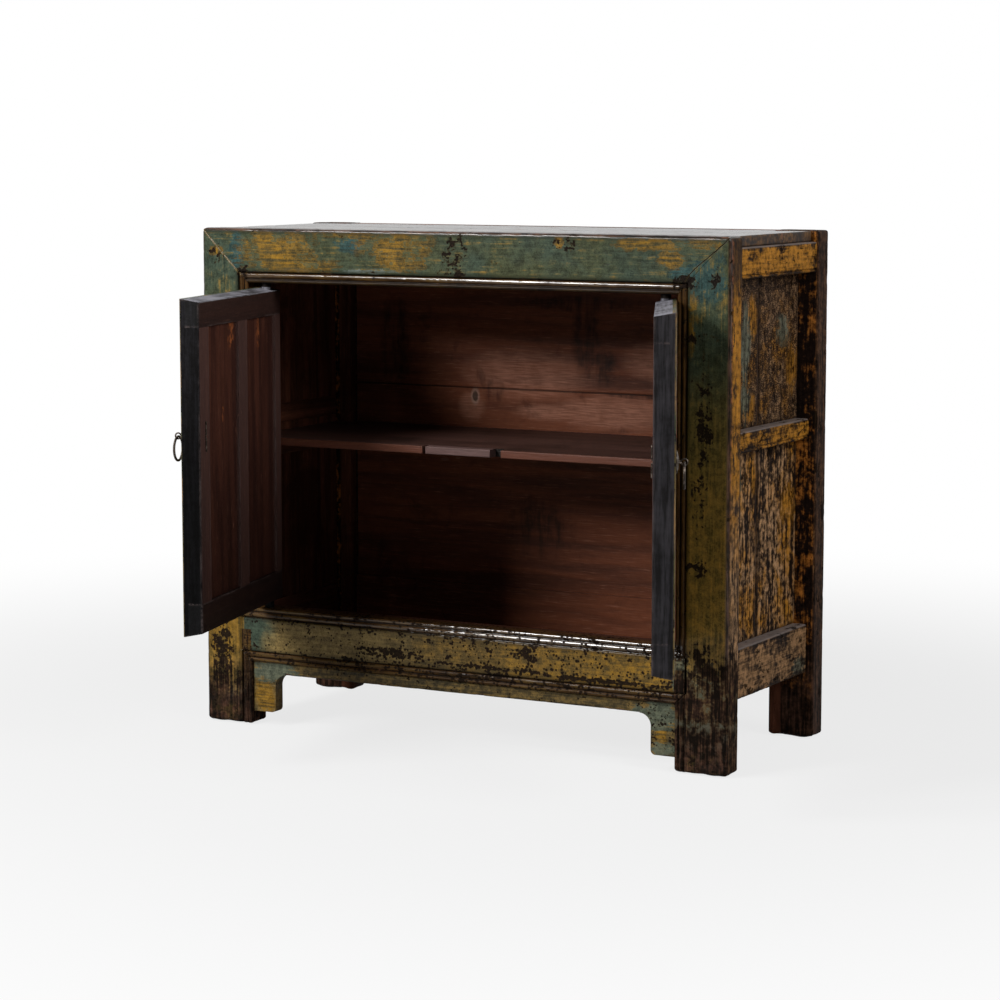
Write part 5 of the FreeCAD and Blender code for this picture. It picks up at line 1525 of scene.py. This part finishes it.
class CABINET_OT_doors(bpy.types.Operator):
    """Finish every wooden piece of both doors"""
    bl_idname = "cabinet.doors"
    bl_label = "Doors"

    def execute(self, context):
        upright = ("hinge_stile", "lock_stile", "muntin", "hinge_side_panel", "lock_side_panel")
        for side in ("left", "right"):
            for part in upright + ("top_rail", "bottom_rail"):
                node = side + "_door_" + part
                points = closed_points(node, side)
                box = (points.min(0).tolist(), points.max(0).tolist())
                along = "z" if part in upright else "x"
                dress([node], door_finish(node, side, *settings_of(context), along, *box))
        return {"FINISHED"}


class CABINET_OT_pulls(bpy.types.Operator):
    """Make the plates, split pins and ring bails"""
    bl_idname = "cabinet.pulls"
    bl_label = "Pulls"

    def execute(self, context):
        metal = pull_metal(*settings_of(context))
        for side in ("left", "right"):
            plate = surface(side + "_plate", on_door(plate_points(), side), True, True, metal)
            pin_points = tube(eye_path(), WIRE_RADIUS, 14)
            pin = surface(side + "_split_pin", on_door(pin_points, side), False, True, metal)
            bail = surface(side + "_ring_bail", on_door(bail_points(), side), True, True, metal)
            for piece in (plate, pin, bail):
                face_outwards(piece)
            settle(plate, side + "_pull_plate", side + "_door")
            settle(pin, side + "_pull_eye", side + "_door")
            settle(bail, side + "_pull_bail", side + "_bail")
        return {"FINISHED"}


class CABINET_OT_stage(bpy.types.Operator):
    """Set the floor, the surroundings, the lamps and the camera"""
    bl_idname = "cabinet.stage"
    bl_label = "Stage"

    def execute(self, context):
        stage = context.scene.cabinet_stage
        half = stage.floor_size / 2
        shares = np.linspace(-half, half, 3)
        grid = np.stack(np.meshgrid(shares, shares, [0.0], indexing="ij"), axis=-1)[:, :, 0]
        floor = surface("floor", grid[:, ::-1], False, False, floor_material())
        set_world(stage.room_light)
        area_lamp("key_lamp", (-1.4, -1.8, 2.5), 0.7, stage.key_power)
        area_lamp("side_lamp", (2.9, -0.9, 2.1), 1.4, stage.side_power)
        area_lamp("low_lamp", (-1.3, -3.2, 2.0), 0.9, stage.low_power)
        data = bpy.data.cameras.new("camera")
        data.lens = stage.camera_lens
        data.sensor_width = SENSOR_WIDTH
        data.clip_end = 60.0
        camera = bpy.data.objects.new("camera", data)
        camera.location = stage.camera_place
        camera.rotation_euler = (math.pi / 2 - stage.camera_pitch, 0.0, stage.camera_yaw)
        context.scene.collection.objects.link(camera)
        context.scene.camera = camera
        context.scene.view_settings.view_transform = "Standard"
        return {"FINISHED"}


class CABINET_PT_panel(bpy.types.Panel):
    """Lists the cabinet's operators and settings"""
    bl_idname = "CABINET_PT_panel"
    bl_label = "Kang cabinet"
    bl_space_type = "VIEW_3D"
    bl_region_type = "UI"
    bl_category = "Cabinet"

    def draw(self, context):
        for operator in OPERATORS:
            self.layout.operator(operator.bl_idname)
        scene = context.scene
        for settings in (scene.cabinet_stage, scene.cabinet_wear, scene.cabinet_colours):
            box = self.layout.box()
            for key in settings.bl_rna.properties.keys():
                if key not in ("rna_type", "name"):
                    box.prop(settings, key)


OPERATORS = [
    CABINET_OT_stage, CABINET_OT_front_frame, CABINET_OT_sides, CABINET_OT_back, CABINET_OT_top,
    CABINET_OT_inside, CABINET_OT_doors, CABINET_OT_pulls]
GROUPS = [CabinetColours, CabinetWear, CabinetStage]


def register():
    for group in GROUPS + OPERATORS + [CABINET_PT_panel]:
        bpy.utils.register_class(group)
    bpy.types.Scene.cabinet_colours = PointerProperty(type=CabinetColours)
    bpy.types.Scene.cabinet_wear = PointerProperty(type=CabinetWear)
    bpy.types.Scene.cabinet_stage = PointerProperty(type=CabinetStage)


def unregister():
    del bpy.types.Scene.cabinet_colours
    del bpy.types.Scene.cabinet_wear
    del bpy.types.Scene.cabinet_stage
    for group in reversed(GROUPS + OPERATORS + [CABINET_PT_panel]):
        bpy.utils.unregister_class(group)


def main():
    register()
    for operator in OPERATORS:
        category, name = operator.bl_idname.split(".")
        result = getattr(getattr(bpy.ops, category), name)()
        if result != {"FINISHED"}:
            raise RuntimeError(operator.bl_idname + " did not finish")


if __name__ == "__main__":
    main()
